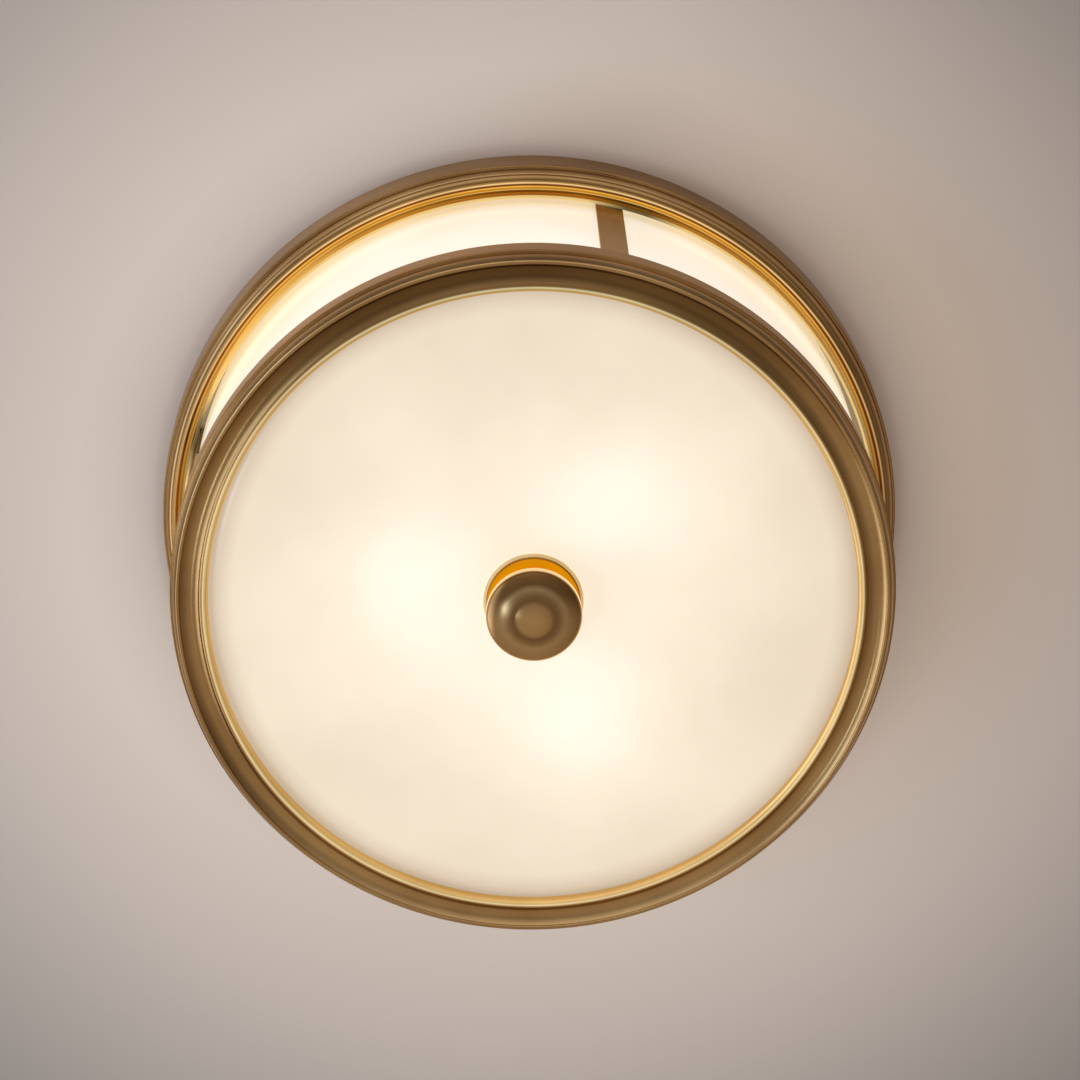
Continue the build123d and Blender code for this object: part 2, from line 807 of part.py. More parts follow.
def finial_collar():
    wall = 1.4
    waist = 1.5
    outer = collar_radius
    middle = (plate_under + collar_under) / 2.0
    return spun(
        Line((outer - wall, plate_under), (outer, plate_under)),
        Line((outer, plate_under), (outer, plate_under - 0.8)),
        ThreePointArc((outer, plate_under - 0.8), (outer - waist, middle), (outer, collar_under + 0.8)),
        Line((outer, collar_under + 0.8), (outer, collar_under)),
        Line((outer, collar_under), (outer - wall, collar_under)),
        Line((outer - wall, collar_under), (outer - wall, collar_under + 0.8)),
        ThreePointArc(
            (outer - wall, collar_under + 0.8), (outer - waist - wall, middle),
            (outer - wall, plate_under - 0.8),
        ),
        Line((outer - wall, plate_under - 0.8), (outer - wall, plate_under)),
    )


def crown_point(angle):
    return (knob_radius * cos(radians(angle)), rim_under - knob_crown * sin(radians(angle)))


def finial_knob():
    top = collar_under - seat_gap
    hub = 7.5
    hub_top = plate_under - 1.5
    bore_end = rod_end - 1.5
    rim = knob_radius
    groove = 0.7
    foot = crown_foot
    dip = crown_under + 0.05
    slope = (-knob_radius * sin(radians(foot)), -knob_crown * cos(radians(foot)))
    return spun(
        Line((rod_bore, hub_top), (hub, hub_top)),
        Line((hub, hub_top), (hub, top)),
        Line((hub, top), (rim - groove, top)),
        Line((rim - groove, top), (rim - groove, top - 0.9)),
        Line((rim - groove, top - 0.9), (rim, top - 1.6)),
        Line((rim, top - 1.6), (rim, rim_under)),
        Spline(
            (rim, rim_under), crown_point(foot * 0.35), crown_point(foot * 0.7), crown_point(foot),
            tangents=((0, -1), slope),
        ),
        Line(crown_point(foot), (boss_radius, dip)),
        dome(boss_radius, dip, boss_under),
        Line((0, boss_under), (0, bore_end)),
        Line((0, bore_end), (rod_bore, bore_end)),
        Line((rod_bore, bore_end), (rod_bore, hub_top)),
    )


os.makedirs("parts", exist_ok=True)
write("canopy_ring", canopy_ring())
write("canopy_rivets", canopy_rivets())
write("ceiling_pan", ceiling_pan())
write("insulation_board", insulation_board())
write("crossbar", crossbar())
write("ground_screws", ground_screws())
write("ground_lead", ground_lead())
write("centre_rod", centre_rod())
write("rod_nuts", rod_nuts())
write("pan_washer", pan_washer())
write("holder_screws", holder_screws())
write("black_leads", leads(black_circle, 2.0 * tail_offset))
write("white_leads", leads(white_circle, wire_pair))
write("black_wire_nut", wire_nut(2.0 * tail_offset))
write("white_wire_nut", wire_nut(wire_pair))
write("stop_bumpers", stop_bumpers())
write("top_hoop", top_hoop())
write("strap_pads", strap_pads())
write("lower_ring", lower_ring())
write("glass_drum", glass_drum())
write("ring_gasket", ring_gasket())
write("glass_bush", glass_bush())
write("nylon_washer", nylon_washer())
write("finial_plate", finial_plate())
write("finial_collar", finial_collar())
write("finial_knob", finial_knob())
for number, place in enumerate(lamp_angles(), start=1):
    write(f"holder_{number}_body", holder_body(place))
    write(f"holder_{number}_shell", holder_shell(place))
    write(f"holder_{number}_contact", holder_contact(place))
    write(f"lamp_{number}_tip", lamp_tip(place))
    write(f"lamp_{number}_insulator", lamp_insulator(place))
    write(f"lamp_{number}_cap", lamp_cap(place))
    write(f"lamp_{number}_bulb", lamp_bulb(place))
for number, place in enumerate(strap_angles(), start=1):
    write(f"strap_{number}", strap(place))
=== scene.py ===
import bpy
from math import atan2, ceil, cos, floor, hypot, pi, radians, sin
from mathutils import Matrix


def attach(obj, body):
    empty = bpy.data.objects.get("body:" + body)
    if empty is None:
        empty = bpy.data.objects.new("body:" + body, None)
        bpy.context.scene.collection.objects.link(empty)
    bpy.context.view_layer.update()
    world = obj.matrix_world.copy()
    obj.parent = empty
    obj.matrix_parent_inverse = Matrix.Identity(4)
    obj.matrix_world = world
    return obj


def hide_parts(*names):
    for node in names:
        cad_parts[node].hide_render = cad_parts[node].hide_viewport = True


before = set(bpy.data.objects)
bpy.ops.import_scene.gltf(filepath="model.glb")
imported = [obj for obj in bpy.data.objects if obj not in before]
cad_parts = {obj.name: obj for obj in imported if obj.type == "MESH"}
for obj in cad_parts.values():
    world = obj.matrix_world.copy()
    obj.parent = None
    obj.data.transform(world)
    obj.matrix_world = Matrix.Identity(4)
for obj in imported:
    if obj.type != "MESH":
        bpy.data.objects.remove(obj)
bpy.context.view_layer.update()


# The ceiling the light hangs on, pale, seen from below, with a painted shadow in a narrow ring round
# the canopy, a painted pool of light round the fixture that fades outwards, and painted shade towards
# one corner. From above it is see-through, so that the top of the light shows. The room is pale below
# and beyond, and darker on the near side.
def feed(node, inputs):
    """Link or set the inputs of a node, each given by its name or number."""
    for name, given in inputs.items():
        if isinstance(given, bpy.types.NodeSocket):
            node.id_data.links.new(given, node.inputs[name])
        else:
            node.inputs[name].default_value = given
    return node


def reopened(material):
    """The main shader of a material and the place on the piece."""
    nodes = material.node_tree.nodes
    return nodes["Principled BSDF"], nodes.new("ShaderNodeTexCoord").outputs["Object"]


def new_finish(name):
    """A new material, with its main shader and the place on the piece."""
    material = bpy.data.materials.new(name)
    material.use_nodes = True
    return (material, *reopened(material))


def along_axis(place, axis):
    """How far a place is along one of the axes."""
    split = place.id_data.nodes.new("ShaderNodeSeparateXYZ")
    return feed(split, {"Vector": place}).outputs[axis]


def measured(place, operation, other=(0.0, 0.0, 0.0), result="Value"):
    """A measure of a place, such as its length or how far it is from another place."""
    measure = place.id_data.nodes.new("ShaderNodeVectorMath")
    measure.operation = operation
    return feed(measure, {0: place, 1: other}).outputs[result]


def tint(value, stops):
    """Colours along a value, given as places from 0 to 1 with a colour each."""
    ramp = value.id_data.nodes.new("ShaderNodeValToRGB")
    while len(ramp.color_ramp.elements) < len(stops):
        ramp.color_ramp.elements.new(0.5)
    for element, (at, colour) in zip(ramp.color_ramp.elements, stops):
        element.position = at
    for element, (at, colour) in zip(ramp.color_ramp.elements, stops):
        element.color = (*colour, 1.0)
    return feed(ramp, {"Fac": value}).outputs["Color"]


def between(value, start, end, low=0.0, high=1.0):
    """Read a value from one range into another."""
    span = value.id_data.nodes.new("ShaderNodeMapRange")
    feed(span, {"Value": value, "From Min": start, "From Max": end, "To Min": low, "To Max": high})
    return span.outputs["Result"]


def spaced(stops, near, far):
    """Stops of a tint given by measures, as places from 0 to 1 between two of the measures."""
    return [((measure - near) / (far - near), colour) for measure, colour in stops]


def times(colour, other):
    """One colour darkened by another, or by a plain value."""
    mix = colour.id_data.nodes.new("ShaderNodeMix")
    mix.data_type = "RGBA"
    mix.blend_type = "MULTIPLY"
    return feed(mix, {"Factor": 1.0, "A": colour, "B": other}).outputs["Result"]


def either(choice, first, second):
    """The first of two surfaces where a choice is 0, and the second where it is 1."""
    mix = choice.id_data.nodes.new("ShaderNodeMixShader")
    return feed(mix, {"Fac": choice, 1: first, 2: second}).outputs["Shader"]


ceiling_size = 9.0
ceiling_gap = 0.0006
# Painted light and shade on the ceiling by distance from the middle: a painted shadow in a narrow ring by the
# canopy, then a painted pool of light that fades outwards.
painted_ceiling_tones = (
    (0.210, (0.60, 0.55, 0.56)), (0.224, (0.86, 0.80, 0.78)), (0.270, (0.90, 0.84, 0.82)),
    (0.350, (0.77, 0.725, 0.72)), (0.520, (0.41, 0.40, 0.41)))
painted_shade_way = (0.78, -0.62, 0.0)
painted_shade_start, painted_shade_end, painted_shade_at_corner = 0.25, 0.46, 0.80

bpy.ops.object.select_all(action="DESELECT")
bpy.ops.mesh.primitive_plane_add(size=ceiling_size, location=(0.0, 0.0, ceiling_gap),
                                 rotation=(pi, 0.0, 0.0))
ceiling = bpy.context.object
ceiling.name = "ceiling"
bpy.ops.object.transform_apply(location=True, rotation=True, scale=True)
ceiling.visible_shadow = False
plaster, shader, place = new_finish("pale_plaster")
near, far = painted_ceiling_tones[0][0], painted_ceiling_tones[-1][0]
painted_light_pool = tint(between(measured(place, "LENGTH"), near, far), spaced(painted_ceiling_tones, near, far))
# Painted shade towards one corner of the ceiling.
to_corner = measured(place, "DOT_PRODUCT", painted_shade_way)
painted_corner_dimming = between(to_corner, painted_shade_start, painted_shade_end, 1.0, painted_shade_at_corner)
feed(shader, {"Base Color": times(painted_light_pool, painted_corner_dimming), "Roughness": 0.9, "Specular IOR Level": 0.1})
nodes = plaster.node_tree.nodes
from_above = nodes.new("ShaderNodeNewGeometry").outputs["Backfacing"]
clear = nodes.new("ShaderNodeBsdfTransparent").outputs["BSDF"]
feed(nodes["Material Output"], {"Surface": either(from_above, shader.outputs["BSDF"], clear)})
ceiling.data.materials.append(plaster)

backdrop_tone = (0.80, 0.77, 0.74, 1.0)
fill_tone = (0.47, 0.39, 0.325, 1.0)
room_tones = {
    "Y": ((-1.0, (1.25, 1.25, 1.25)), (-0.35, (0.56, 0.54, 0.51)), (-0.10, (0.42, 0.39, 0.35)),
          (0.28, (0.56, 0.48, 0.39)), (1.0, (0.54, 0.45, 0.34))),
    "X": ((-1.0, (4.0, 4.8, 6.0)), (-0.86, (3.2, 3.8, 4.8)), (-0.70, (0.95, 0.95, 0.95)),
          (0.10, (1.0, 0.97, 0.93)), (1.0, (0.46, 0.41, 0.35)))}

world = bpy.data.worlds.new("studio")
bpy.context.scene.world = world
world.use_nodes = True
nodes = world.node_tree.nodes
way = nodes.new("ShaderNodeTexCoord").outputs["Generated"]
seen = [tint(between(along_axis(way, axis), -1.0, 1.0), spaced(tones, -1.0, 1.0))
        for axis, tones in room_tones.items()]
backdrop = feed(nodes["Background"], {"Color": backdrop_tone, "Strength": 1.0})
fill = feed(nodes.new("ShaderNodeBackground"), {"Color": fill_tone, "Strength": 1.0})
room = feed(nodes.new("ShaderNodeBackground"), {"Color": times(*seen), "Strength": 1.0})
rays = nodes.new("ShaderNodeLightPath")
in_gloss = either(rays.outputs["Is Glossy Ray"], fill.outputs["Background"], room.outputs["Background"])
in_view = either(rays.outputs["Is Camera Ray"], in_gloss, backdrop.outputs["Background"])
feed(nodes["World Output"], {"Surface": in_view})


def soft_lamp(name, place, turn, size, power, colour):
    """A square studio lamp: its turn in degrees, its side in metres and its power in watts."""
    bpy.ops.object.light_add(type="AREA", location=place, rotation=[radians(angle) for angle in turn])
    lamp = bpy.context.object
    lamp.name = name
    lamp.data.size = size
    lamp.data.energy = power
    lamp.data.color = colour
    return lamp


window = soft_lamp("lamp_window", (-1.9, 0.15, -2.0), (0.0, -136.5, 0.0), 2.0, 20.0, (0.84, 0.94, 1.0))
window.visible_glossy = False
soft_lamp("lamp_left_low", (-0.86, 0.33, -1.95), (169.0, -25.0, 0.0), 0.36, 1.9, (0.66, 0.86, 1.0))
soft_lamp("lamp_above", (-0.8, -0.9, 2.2), (-28.0, -20.0, 0.0), 1.8, 40.0, (1.0, 0.95, 0.88))

camera_place = (0.0055, -0.8004, -2.2496)
camera_turn = [radians(angle) for angle in (159.975, 1.0463, 2.8683)]
bpy.ops.object.camera_add(location=camera_place, rotation=camera_turn)
camera = bpy.context.object
camera.name = "camera"
camera.data.lens = 133.643
camera.data.sensor_width = 36.0
camera.data.clip_start = 0.05
camera.data.clip_end = 60.0
bpy.context.scene.camera = camera
bpy.context.scene.view_settings.view_transform = "Standard"


# Canopy ring: brass strip spun to a moulding, with a plain wall, a quirk, an ovolo and a small bead.
# Satin aged brass with faint lathe lines round it, and painted bands of light and shade: highlights on
# the ovolo and bead, shade in the quirks, under the lip and on the outer wall. Its inner ledge is riveted
# under the pan, and its bead and lip carry a painted glow, a reflection of the lit glass.
metre = 1000.0
weld = 0.000005
crease = 32.0


def bend(start, middle, end, steps):
    """The points of an arc through three points, in millimetres, with both its ends."""
    (ax, az), (bx, bz), (cx, cz) = start, middle, end
    twist = 2.0 * (ax * (bz - cz) + bx * (cz - az) + cx * (az - bz))
    a2, b2, c2 = ax * ax + az * az, bx * bx + bz * bz, cx * cx + cz * cz
    ox = (a2 * (bz - cz) + b2 * (cz - az) + c2 * (az - bz)) / twist
    oz = (a2 * (cx - bx) + b2 * (ax - cx) + c2 * (bx - ax)) / twist
    radius = hypot(ax - ox, az - oz)
    first = atan2(az - oz, ax - ox)
    through = (atan2(bz - oz, bx - ox) - first) % (2.0 * pi)
    last = (atan2(cz - oz, cx - ox) - first) % (2.0 * pi)
    if through > last:
        last -= 2.0 * pi
    angles = [first + last * k / steps for k in range(steps + 1)]
    return [(ox + radius * cos(a), oz + radius * sin(a)) for a in angles]


def first_point(name, x, z):
    """A mesh of one point, in millimetres, left in edit mode with the point selected."""
    bpy.ops.object.select_all(action="DESELECT")
    bpy.ops.mesh.primitive_plane_add(size=0.002, location=(x / metre, 0.0, z / metre))
    piece = bpy.context.object
    piece.name = name
    bpy.ops.object.transform_apply(location=True)
    bpy.ops.object.mode_set(mode="EDIT")
    bpy.ops.mesh.select_mode(type="VERT")
    bpy.ops.mesh.select_all(action="SELECT")
    bpy.ops.mesh.merge(type="CENTER")
    return piece


def draw_on(here, there):
    """Extrude the last point of an outline to the next one, in millimetres, which it gives back."""
    step = ((there[0] - here[0]) / metre, 0.0, (there[1] - here[1]) / metre)
    bpy.ops.mesh.extrude_vertices_move(TRANSFORM_OT_translate={"value": step})
    return there


def turned(name, outline, steps=192, sweep=360.0):
    """Draw an outline point by point with extrudes and spin it round the centre line."""
    piece = first_point(name, *outline[0])
    here = outline[0]
    for there in outline[1:] + outline[:1]:
        here = draw_on(here, there)
    bpy.ops.mesh.select_all(action="SELECT")
    bpy.ops.mesh.remove_doubles(threshold=weld)
    if sweep < 360.0:
        bpy.ops.mesh.edge_face_add()
    bpy.ops.mesh.spin(steps=steps, angle=radians(sweep), center=(0.0, 0.0, 0.0), axis=(0.0, 0.0, 1.0))
    bpy.ops.mesh.select_all(action="SELECT")
    bpy.ops.mesh.remove_doubles(threshold=weld)
    bpy.ops.mesh.normals_make_consistent(inside=False)
    bpy.ops.object.mode_set(mode="OBJECT")
    bpy.ops.object.shade_smooth_by_angle(angle=radians(crease))
    return piece


canopy = turned("canopy_moulding", (
    [(215.75, -0.4), (216.0, -0.65), (216.0, -8.0), (216.0, -15.0)]
    + bend((216.0, -21.8), (215.77, -22.37), (215.2, -22.6), 5)
    + [(214.5, -22.6), (214.15, -22.85), (214.1, -23.4)]
    + bend((214.1, -23.5), (213.78, -26.1), (212.85, -28.25), 7)
    + [(212.5, -28.55), (212.25, -28.9), (212.1, -29.35)]
    + bend((212.1, -29.35), (211.4, -30.05), (210.5, -30.55), 5)[1:]
    + [(210.2, -30.65), (209.95, -30.85), (209.85, -31.3)]
    + bend((209.85, -31.3), (208.8, -34.0), (207.3, -32.7), 9)[1:]
    + [(207.0, -32.3), (204.45, -32.2), (204.2, -31.95), (204.2, -31.05), (204.45, -30.8)]
    + [(208.6, -30.8), (212.4, -23.0), (214.8, -21.2), (214.8, -2.2), (206.0, -2.2), (206.0, -1.0)]
    + [(214.8, -1.0), (214.8, -0.65), (215.05, -0.4)]), steps=256)


def mottle(place, scale, detail=3.0, stretch=None):
    """Soft random variation over a piece, drawn out along an axis where a stretch is given."""
    nodes = place.id_data.nodes
    if stretch is not None:
        place = feed(nodes.new("ShaderNodeMapping"), {"Vector": place, "Scale": stretch}).outputs["Vector"]
    noise = feed(nodes.new("ShaderNodeTexNoise"), {"Vector": place, "Scale": scale, "Detail": detail})
    return noise.outputs["Fac"]


def raised(shader, height, strength, reach):
    """Fine relief from a value."""
    bump = shader.id_data.nodes.new("ShaderNodeBump")
    feed(bump, {"Height": height, "Strength": strength, "Distance": reach})
    feed(shader, {"Normal": bump.outputs["Normal"]})


def deepened(shader, other):
    """Deepen or brighten the colour that a surface has so far."""
    so_far = shader.inputs["Base Color"].links[0].from_socket
    feed(shader, {"Base Color": times(so_far, other)})


def how_far_out(place):
    """How far a place is from the centre line."""
    return measured(measured(place, "MULTIPLY", (1.0, 1.0, 0.0), "Vector"), "LENGTH")


def by_reach(place, start, end, low=0.0, high=1.0):
    """Read the distance from the centre line, in millimetres, into another range."""
    return between(how_far_out(place), start / metre, end / metre, low, high)


def by_axis(place, axis, start, end, low=0.0, high=1.0):
    """Read how far a place is along an axis, in millimetres, into another range."""
    return between(along_axis(place, axis), start / metre, end / metre, low, high)


def tint_by_reach(place, near, far, stops):
    """Colours by distance from the centre line in millimetres, between two distances."""
    return tint(by_reach(place, near, far), spaced(stops, near, far))


def lathe_lines(place):
    """Fine lines that run round the centre line, as a turning tool and buff leave them."""
    join = place.id_data.nodes.new("ShaderNodeCombineXYZ")
    feed(join, {"X": how_far_out(place), "Z": along_axis(place, "Z")})
    return mottle(join.outputs["Vector"], 650.0, 1.0)


def aged_brass(name, lines, deep=(0.40, 0.25, 0.115), pale=(0.54, 0.36, 0.185), lacquer=0.12):
    """Satin aged brass: cloudy patina, small darker specks, and tool marks along the given grain."""
    material, shader, place = new_finish(name)
    cloud = mottle(place, 14.0, 6.0)
    specks = between(mottle(place, 420.0), 0.30, 0.44, 0.94, 1.0)
    feed(shader, {"Base Color": times(tint(cloud, [(0.34, deep), (0.68, pale)]), specks),
                  "Metallic": 1.0, "Roughness": between(cloud, 0.2, 0.8, 0.19, 0.28),
                  "Specular Tint": (1.0, 0.86, 0.66, 1.0),
                  "Coat Weight": lacquer, "Coat Roughness": 0.16})
    raised(shader, lines(place), 0.03, 0.0004)
    return material


def painted_glow_by_reach(material, near, far, stops, least=1.0):
    """Painted glow: warm light from the glass on the brass, painted as emission, by distance from the
    centre line in millimetres. It may fall off from the near side to the far side."""
    shader, place = reopened(material)
    painted_glow_patch = between(mottle(place, 22.0), 0.3, 0.7, 0.80, 1.0)
    towards = by_axis(place, "Y", 20.0, -170.0, least, 1.0)
    light = times(times(tint_by_reach(place, near, far, stops), painted_glow_patch), towards)
    feed(shader, {"Emission Color": light, "Emission Strength": 1.0})


def painted_bands_by_reach(material, near, far, stops):
    """Painted light and shade by distance from the centre line in millimetres: lighter bands for highlights
    and reflections, darker ones for shade in creases and corners, with some patina.
    """
    shader, place = reopened(material)
    deepened(shader, tint_by_reach(place, near, far, stops))


def faded(colour, share, end):
    """A colour that goes over into another one, as a share goes from 0 to 1."""
    mix = colour.id_data.nodes.new("ShaderNodeMix")
    mix.data_type = "RGBA"
    return feed(mix, {"Factor": share, "A": colour, "B": (*end, 1.0)}).outputs["Result"]


def painted_shade_near_side(material, far_end, near_end, full, none, stops):
    """Painted shade on the near side, full at one distance from the centre line and gone at another.
    The near and far ends are places along Y, and all four are in millimetres."""
    shader, place = reopened(material)
    # Painted shade, strongest towards the near end.
    patina = tint(by_axis(place, "Y", near_end, far_end), stops)
    deepened(shader, faded(patina, by_reach(place, full, none), (1.0, 1.0, 1.0)))


canopy_brass = aged_brass("aged_brass_canopy", lathe_lines, (0.36, 0.215, 0.09), (0.50, 0.32, 0.15), 0.25)
# Painted bands: lighter lines for highlights on the ovolo and bead, darker bands for shade in the quirks,
# under the lip and on the outer wall.
painted_bands_by_reach(canopy_brass, 203.0, 217.0, [
    (204.2, (0.55, 0.36, 0.12)), (207.8, (0.60, 0.42, 0.20)), (209.3, (0.95, 0.90, 0.80)),
    (210.1, (0.45, 0.38, 0.18)), (211.0, (1.15, 1.15, 1.10)), (212.1, (0.50, 0.38, 0.24)),
    (213.0, (1.25, 1.30, 1.30)), (213.7, (0.72, 0.70, 0.60)), (214.3, (0.45, 0.36, 0.20)),
    (215.3, (0.90, 0.84, 0.76)), (215.95, (0.55, 0.48, 0.42))])
# Painted reflection of the lit glass, as emission, on the bead and the lip's underside, strongest on the near
# side.
painted_glow_by_reach(canopy_brass, 203.0, 212.0, [
    (204.2, (0.95, 0.66, 0.17)), (204.9, (0.50, 0.22, 0.02)), (205.5, (0.45, 0.18, 0.01)),
    (206.1, (0.95, 0.54, 0.08)), (206.8, (0.04, 0.006, 0.0)), (207.8, (0.06, 0.012, 0.0)),
    (208.7, (0.92, 0.66, 0.30)), (209.4, (0.05, 0.02, 0.0)), (210.2, (0.0, 0.0, 0.0))], 0.12)
canopy.data.materials.append(canopy_brass)
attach(canopy, "fitting")
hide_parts("canopy_ring")


# Eight steel rivets through the canopy's ledge and the pan's flange, with round heads below.
# Bright zinc plate, faintly clouded.
def picked(piece):
    """Select one piece alone and make it the active one."""
    bpy.ops.object.select_all(action="DESELECT")
    piece.select_set(True)
    bpy.context.view_layer.objects.active = piece


def placed_copy(piece, name, place, turn=0.0):
    """A copy of a piece with a mesh of its own, turned about the centre line and moved."""
    picked(piece)
    bpy.ops.object.duplicate(linked=False)
    twin = bpy.context.object
    twin.name = name
    twin.location = [value / metre for value in place]
    twin.rotation_euler = (0.0, 0.0, radians(turn))
    bpy.ops.object.transform_apply(location=True, rotation=True, scale=True)
    return twin


def joined(name, pieces):
    """Several pieces made into one object."""
    bpy.ops.object.select_all(action="DESELECT")
    for piece in pieces:
        piece.select_set(True)
    bpy.context.view_layer.objects.active = pieces[0]
    if len(pieces) > 1:
        bpy.ops.object.join()
    pieces[0].name = name
    return pieces[0]


def copied(piece, name, places):
    """Copies of a piece made into one object, each at a place with its turn in degrees. The piece
    itself is taken away."""
    copies = [placed_copy(piece, "copy", place, turn) for place, turn in places]
    bpy.data.objects.remove(piece)
    return joined(name, copies)


def round_about(radius, angle, sideways=0.0):
    """A place at a radius and an angle in degrees, moved sideways along the circle."""
    a = radians(angle)
    return (radius * cos(a) - sideways * sin(a), radius * sin(a) + sideways * cos(a))


def clouded(name, cloud, tones, dullness, marks, strength, reach, metallic=0.0):
    """A plain finish: clouds of two tones that are duller in places, and marks of fine relief. The
    cloud and the marks are given by scale and detail, and a stretch where they are drawn out."""
    material, shader, place = new_finish(name)
    clouds = mottle(place, *cloud)
    feed(shader, {"Base Color": tint(clouds, tones), "Metallic": metallic,
                  "Roughness": between(clouds, 0.2, 0.8, *dullness)})
    raised(shader, mottle(place, *marks), strength, reach)
    return material


def plated(name, deep, pale, shine=0.30):
    """Plated steel: clouded colour, faint drawn marks and small pits."""
    return clouded(name, (55.0, 5.0), [(0.30, deep), (0.70, pale)], (shine, shine + 0.18),
                   (900.0, 4.0), 0.12, 0.0003, metallic=1.0)


rivet_circle = 210.4
rivet_places = [round_about(rivet_circle, 12.0 + 45.0 * k) for k in range(8)]
rivet = turned("rivet", (
    [(0.0, -0.02), (1.5, -0.05), (1.6, -0.2), (1.6, -2.2), (2.8, -2.2), (3.0, -2.35)]
    + bend((3.0, -2.35), (1.7, -3.06), (0.0, -3.3), 5)[1:]), steps=20)
zinc = plated("bright_zinc", (0.50, 0.51, 0.52), (0.74, 0.74, 0.72))
rivet.data.materials.append(zinc)
rivets = copied(rivet, "canopy_rivet_heads", [((x, y, 0.0), 0.0) for x, y in rivet_places])
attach(rivets, "fitting")
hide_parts("canopy_rivets")


# Ceiling pan: pressed steel dish with a flat flange, white enamelled inside and out, with holes for
# the rod, rivets, lampholder screws, ground screw and leads. It holds the wiring above it.
lamp_circle, lamp_places = 78.0, [74.6, 194.6, 314.6]
black_circle, white_circle = 88.0, 68.0
lead_step, tail_step = 3.2, 16.0
holder_screw_step = 23.0
holder_screw_places = [(angle, step, round_about(lamp_circle, angle, step))
                       for angle in lamp_places for step in (-holder_screw_step, holder_screw_step)]
holder_screw_hole, ground_hole, lead_hole, rivet_hole = 2.0, 2.0, 1.35, 1.6
ground_on_bar, ground_on_pan = (-24.0, 0.0), (-34.0, -34.0)


def lead_places():
    """Where the leads go through the pan: black ones on the outer circle, white on the inner."""
    places = []
    for circle in (black_circle, white_circle):
        for k, angle in enumerate(lamp_places):
            if k > 0:
                places.append(round_about(circle, angle, -lead_step))
            if k < 2:
                places.append(round_about(circle, angle, lead_step))
    places.append(round_about(black_circle, lamp_places[2], tail_step))
    places.append(round_about(white_circle, lamp_places[2], lead_step))
    return places


def cut(piece, tool, way="DIFFERENCE"):
    """Cut a piece with another one, or keep only what both fill, and take the other one away."""
    picked(piece)
    cutting = piece.modifiers.new("cut", "BOOLEAN")
    cutting.object = tool
    cutting.operation = way
    cutting.solver = "EXACT"
    bpy.ops.object.modifier_apply(modifier="cut")
    bpy.data.objects.remove(tool)
    bpy.ops.object.shade_smooth_by_angle(angle=radians(crease))


def drilled(piece, holes, top, bottom):
    """Drill upright holes, each given by its place and radius, between two heights."""
    drills = []
    for x, y, radius in holes:
        bpy.ops.object.select_all(action="DESELECT")
        bpy.ops.mesh.primitive_cylinder_add(
            vertices=20, radius=radius / metre, depth=(top - bottom) / metre,
            location=(x / metre, y / metre, (top + bottom) / 2.0 / metre))
        bpy.ops.object.transform_apply(location=True)
        drills.append(bpy.context.object)
    cut(piece, joined("drill", drills))


pan = turned("ceiling_pan_dish", (
    [(3.425, -18.0), (3.425, -17.0), (90.0, -17.0), (160.0, -17.0)]
    + bend((183.6, -17.0), (184.59, -16.59), (185.0, -15.6), 5)
    + [(185.0, -0.8), (185.2, -0.2), (185.8, 0.0), (200.0, 0.0), (214.0, 0.0), (214.3, -0.25), (214.3, -0.75)]
    + [(214.0, -1.0), (200.0, -1.0), (186.6, -1.0), (186.15, -1.2), (186.0, -1.7)]
    + bend((186.0, -15.4), (185.24, -17.24), (183.4, -18.0), 6)
    + [(160.0, -18.0), (90.0, -18.0)]), steps=192)
pan_holes = [(x, y, rivet_hole) for x, y in rivet_places] + [(x, y, lead_hole) for x, y in lead_places()]
pan_holes += [(*place, holder_screw_hole) for angle, step, place in holder_screw_places]
drilled(pan, pan_holes + [(*ground_on_pan, ground_hole)], 3.0, -22.0)
material, shader, place = new_finish("white_pan_enamel")
cloud = mottle(place, 11.0, 5.0)
clean = tint(cloud, [(0.35, (0.70, 0.69, 0.655)), (0.70, (0.78, 0.775, 0.75))])
dust = between(mottle(place, 260.0, 4.0), 0.26, 0.42, 0.86, 1.0)
feed(shader, {"Base Color": times(clean, dust), "Roughness": between(cloud, 0.2, 0.8, 0.20, 0.36),
              "Coat Weight": 0.3, "Coat Roughness": 0.14})
raised(shader, mottle(place, 190.0, 2.0), 0.10, 0.0008)
pan.data.materials.append(material)
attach(pan, "fitting")
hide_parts("ceiling_pan")


# Insulation board: a ring of pressed fibre board laid in the pan, with its edges a little broken.
# Tan fibres and chips, dull all over.
board = turned("insulation_board_ring", (
    [(99.0, -16.8), (99.2, -17.0), (140.0, -17.0), (182.8, -17.0), (183.0, -16.8), (183.0, -12.0)]
    + bend((183.0, -6.7), (182.8, -6.2), (182.3, -6.0), 3)
    + [(140.0, -6.0)]
    + bend((99.7, -6.0), (99.2, -6.2), (99.0, -6.7), 3)
    + [(99.0, -12.0)]), steps=160)
material, shader, place = new_finish("pressed_fibre_board")
fibre = mottle(place, 70.0, 9.0, (1.0, 6.0, 3.0))
cross = mottle(place, 90.0, 8.0, (6.0, 1.0, 3.0))
tan = tint(fibre, [(0.30, (0.30, 0.215, 0.125)), (0.52, (0.46, 0.35, 0.215)), (0.72, (0.62, 0.51, 0.34))])
chips = between(cross, 0.30, 0.55, 0.70, 1.0)
feed(shader, {"Base Color": times(tan, chips), "Roughness": between(cross, 0.2, 0.8, 0.82, 0.96),
              "Specular IOR Level": 0.2})
raised(shader, fibre, 0.7, 0.0012)
board.data.materials.append(material)
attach(board, "fitting")
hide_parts("insulation_board")


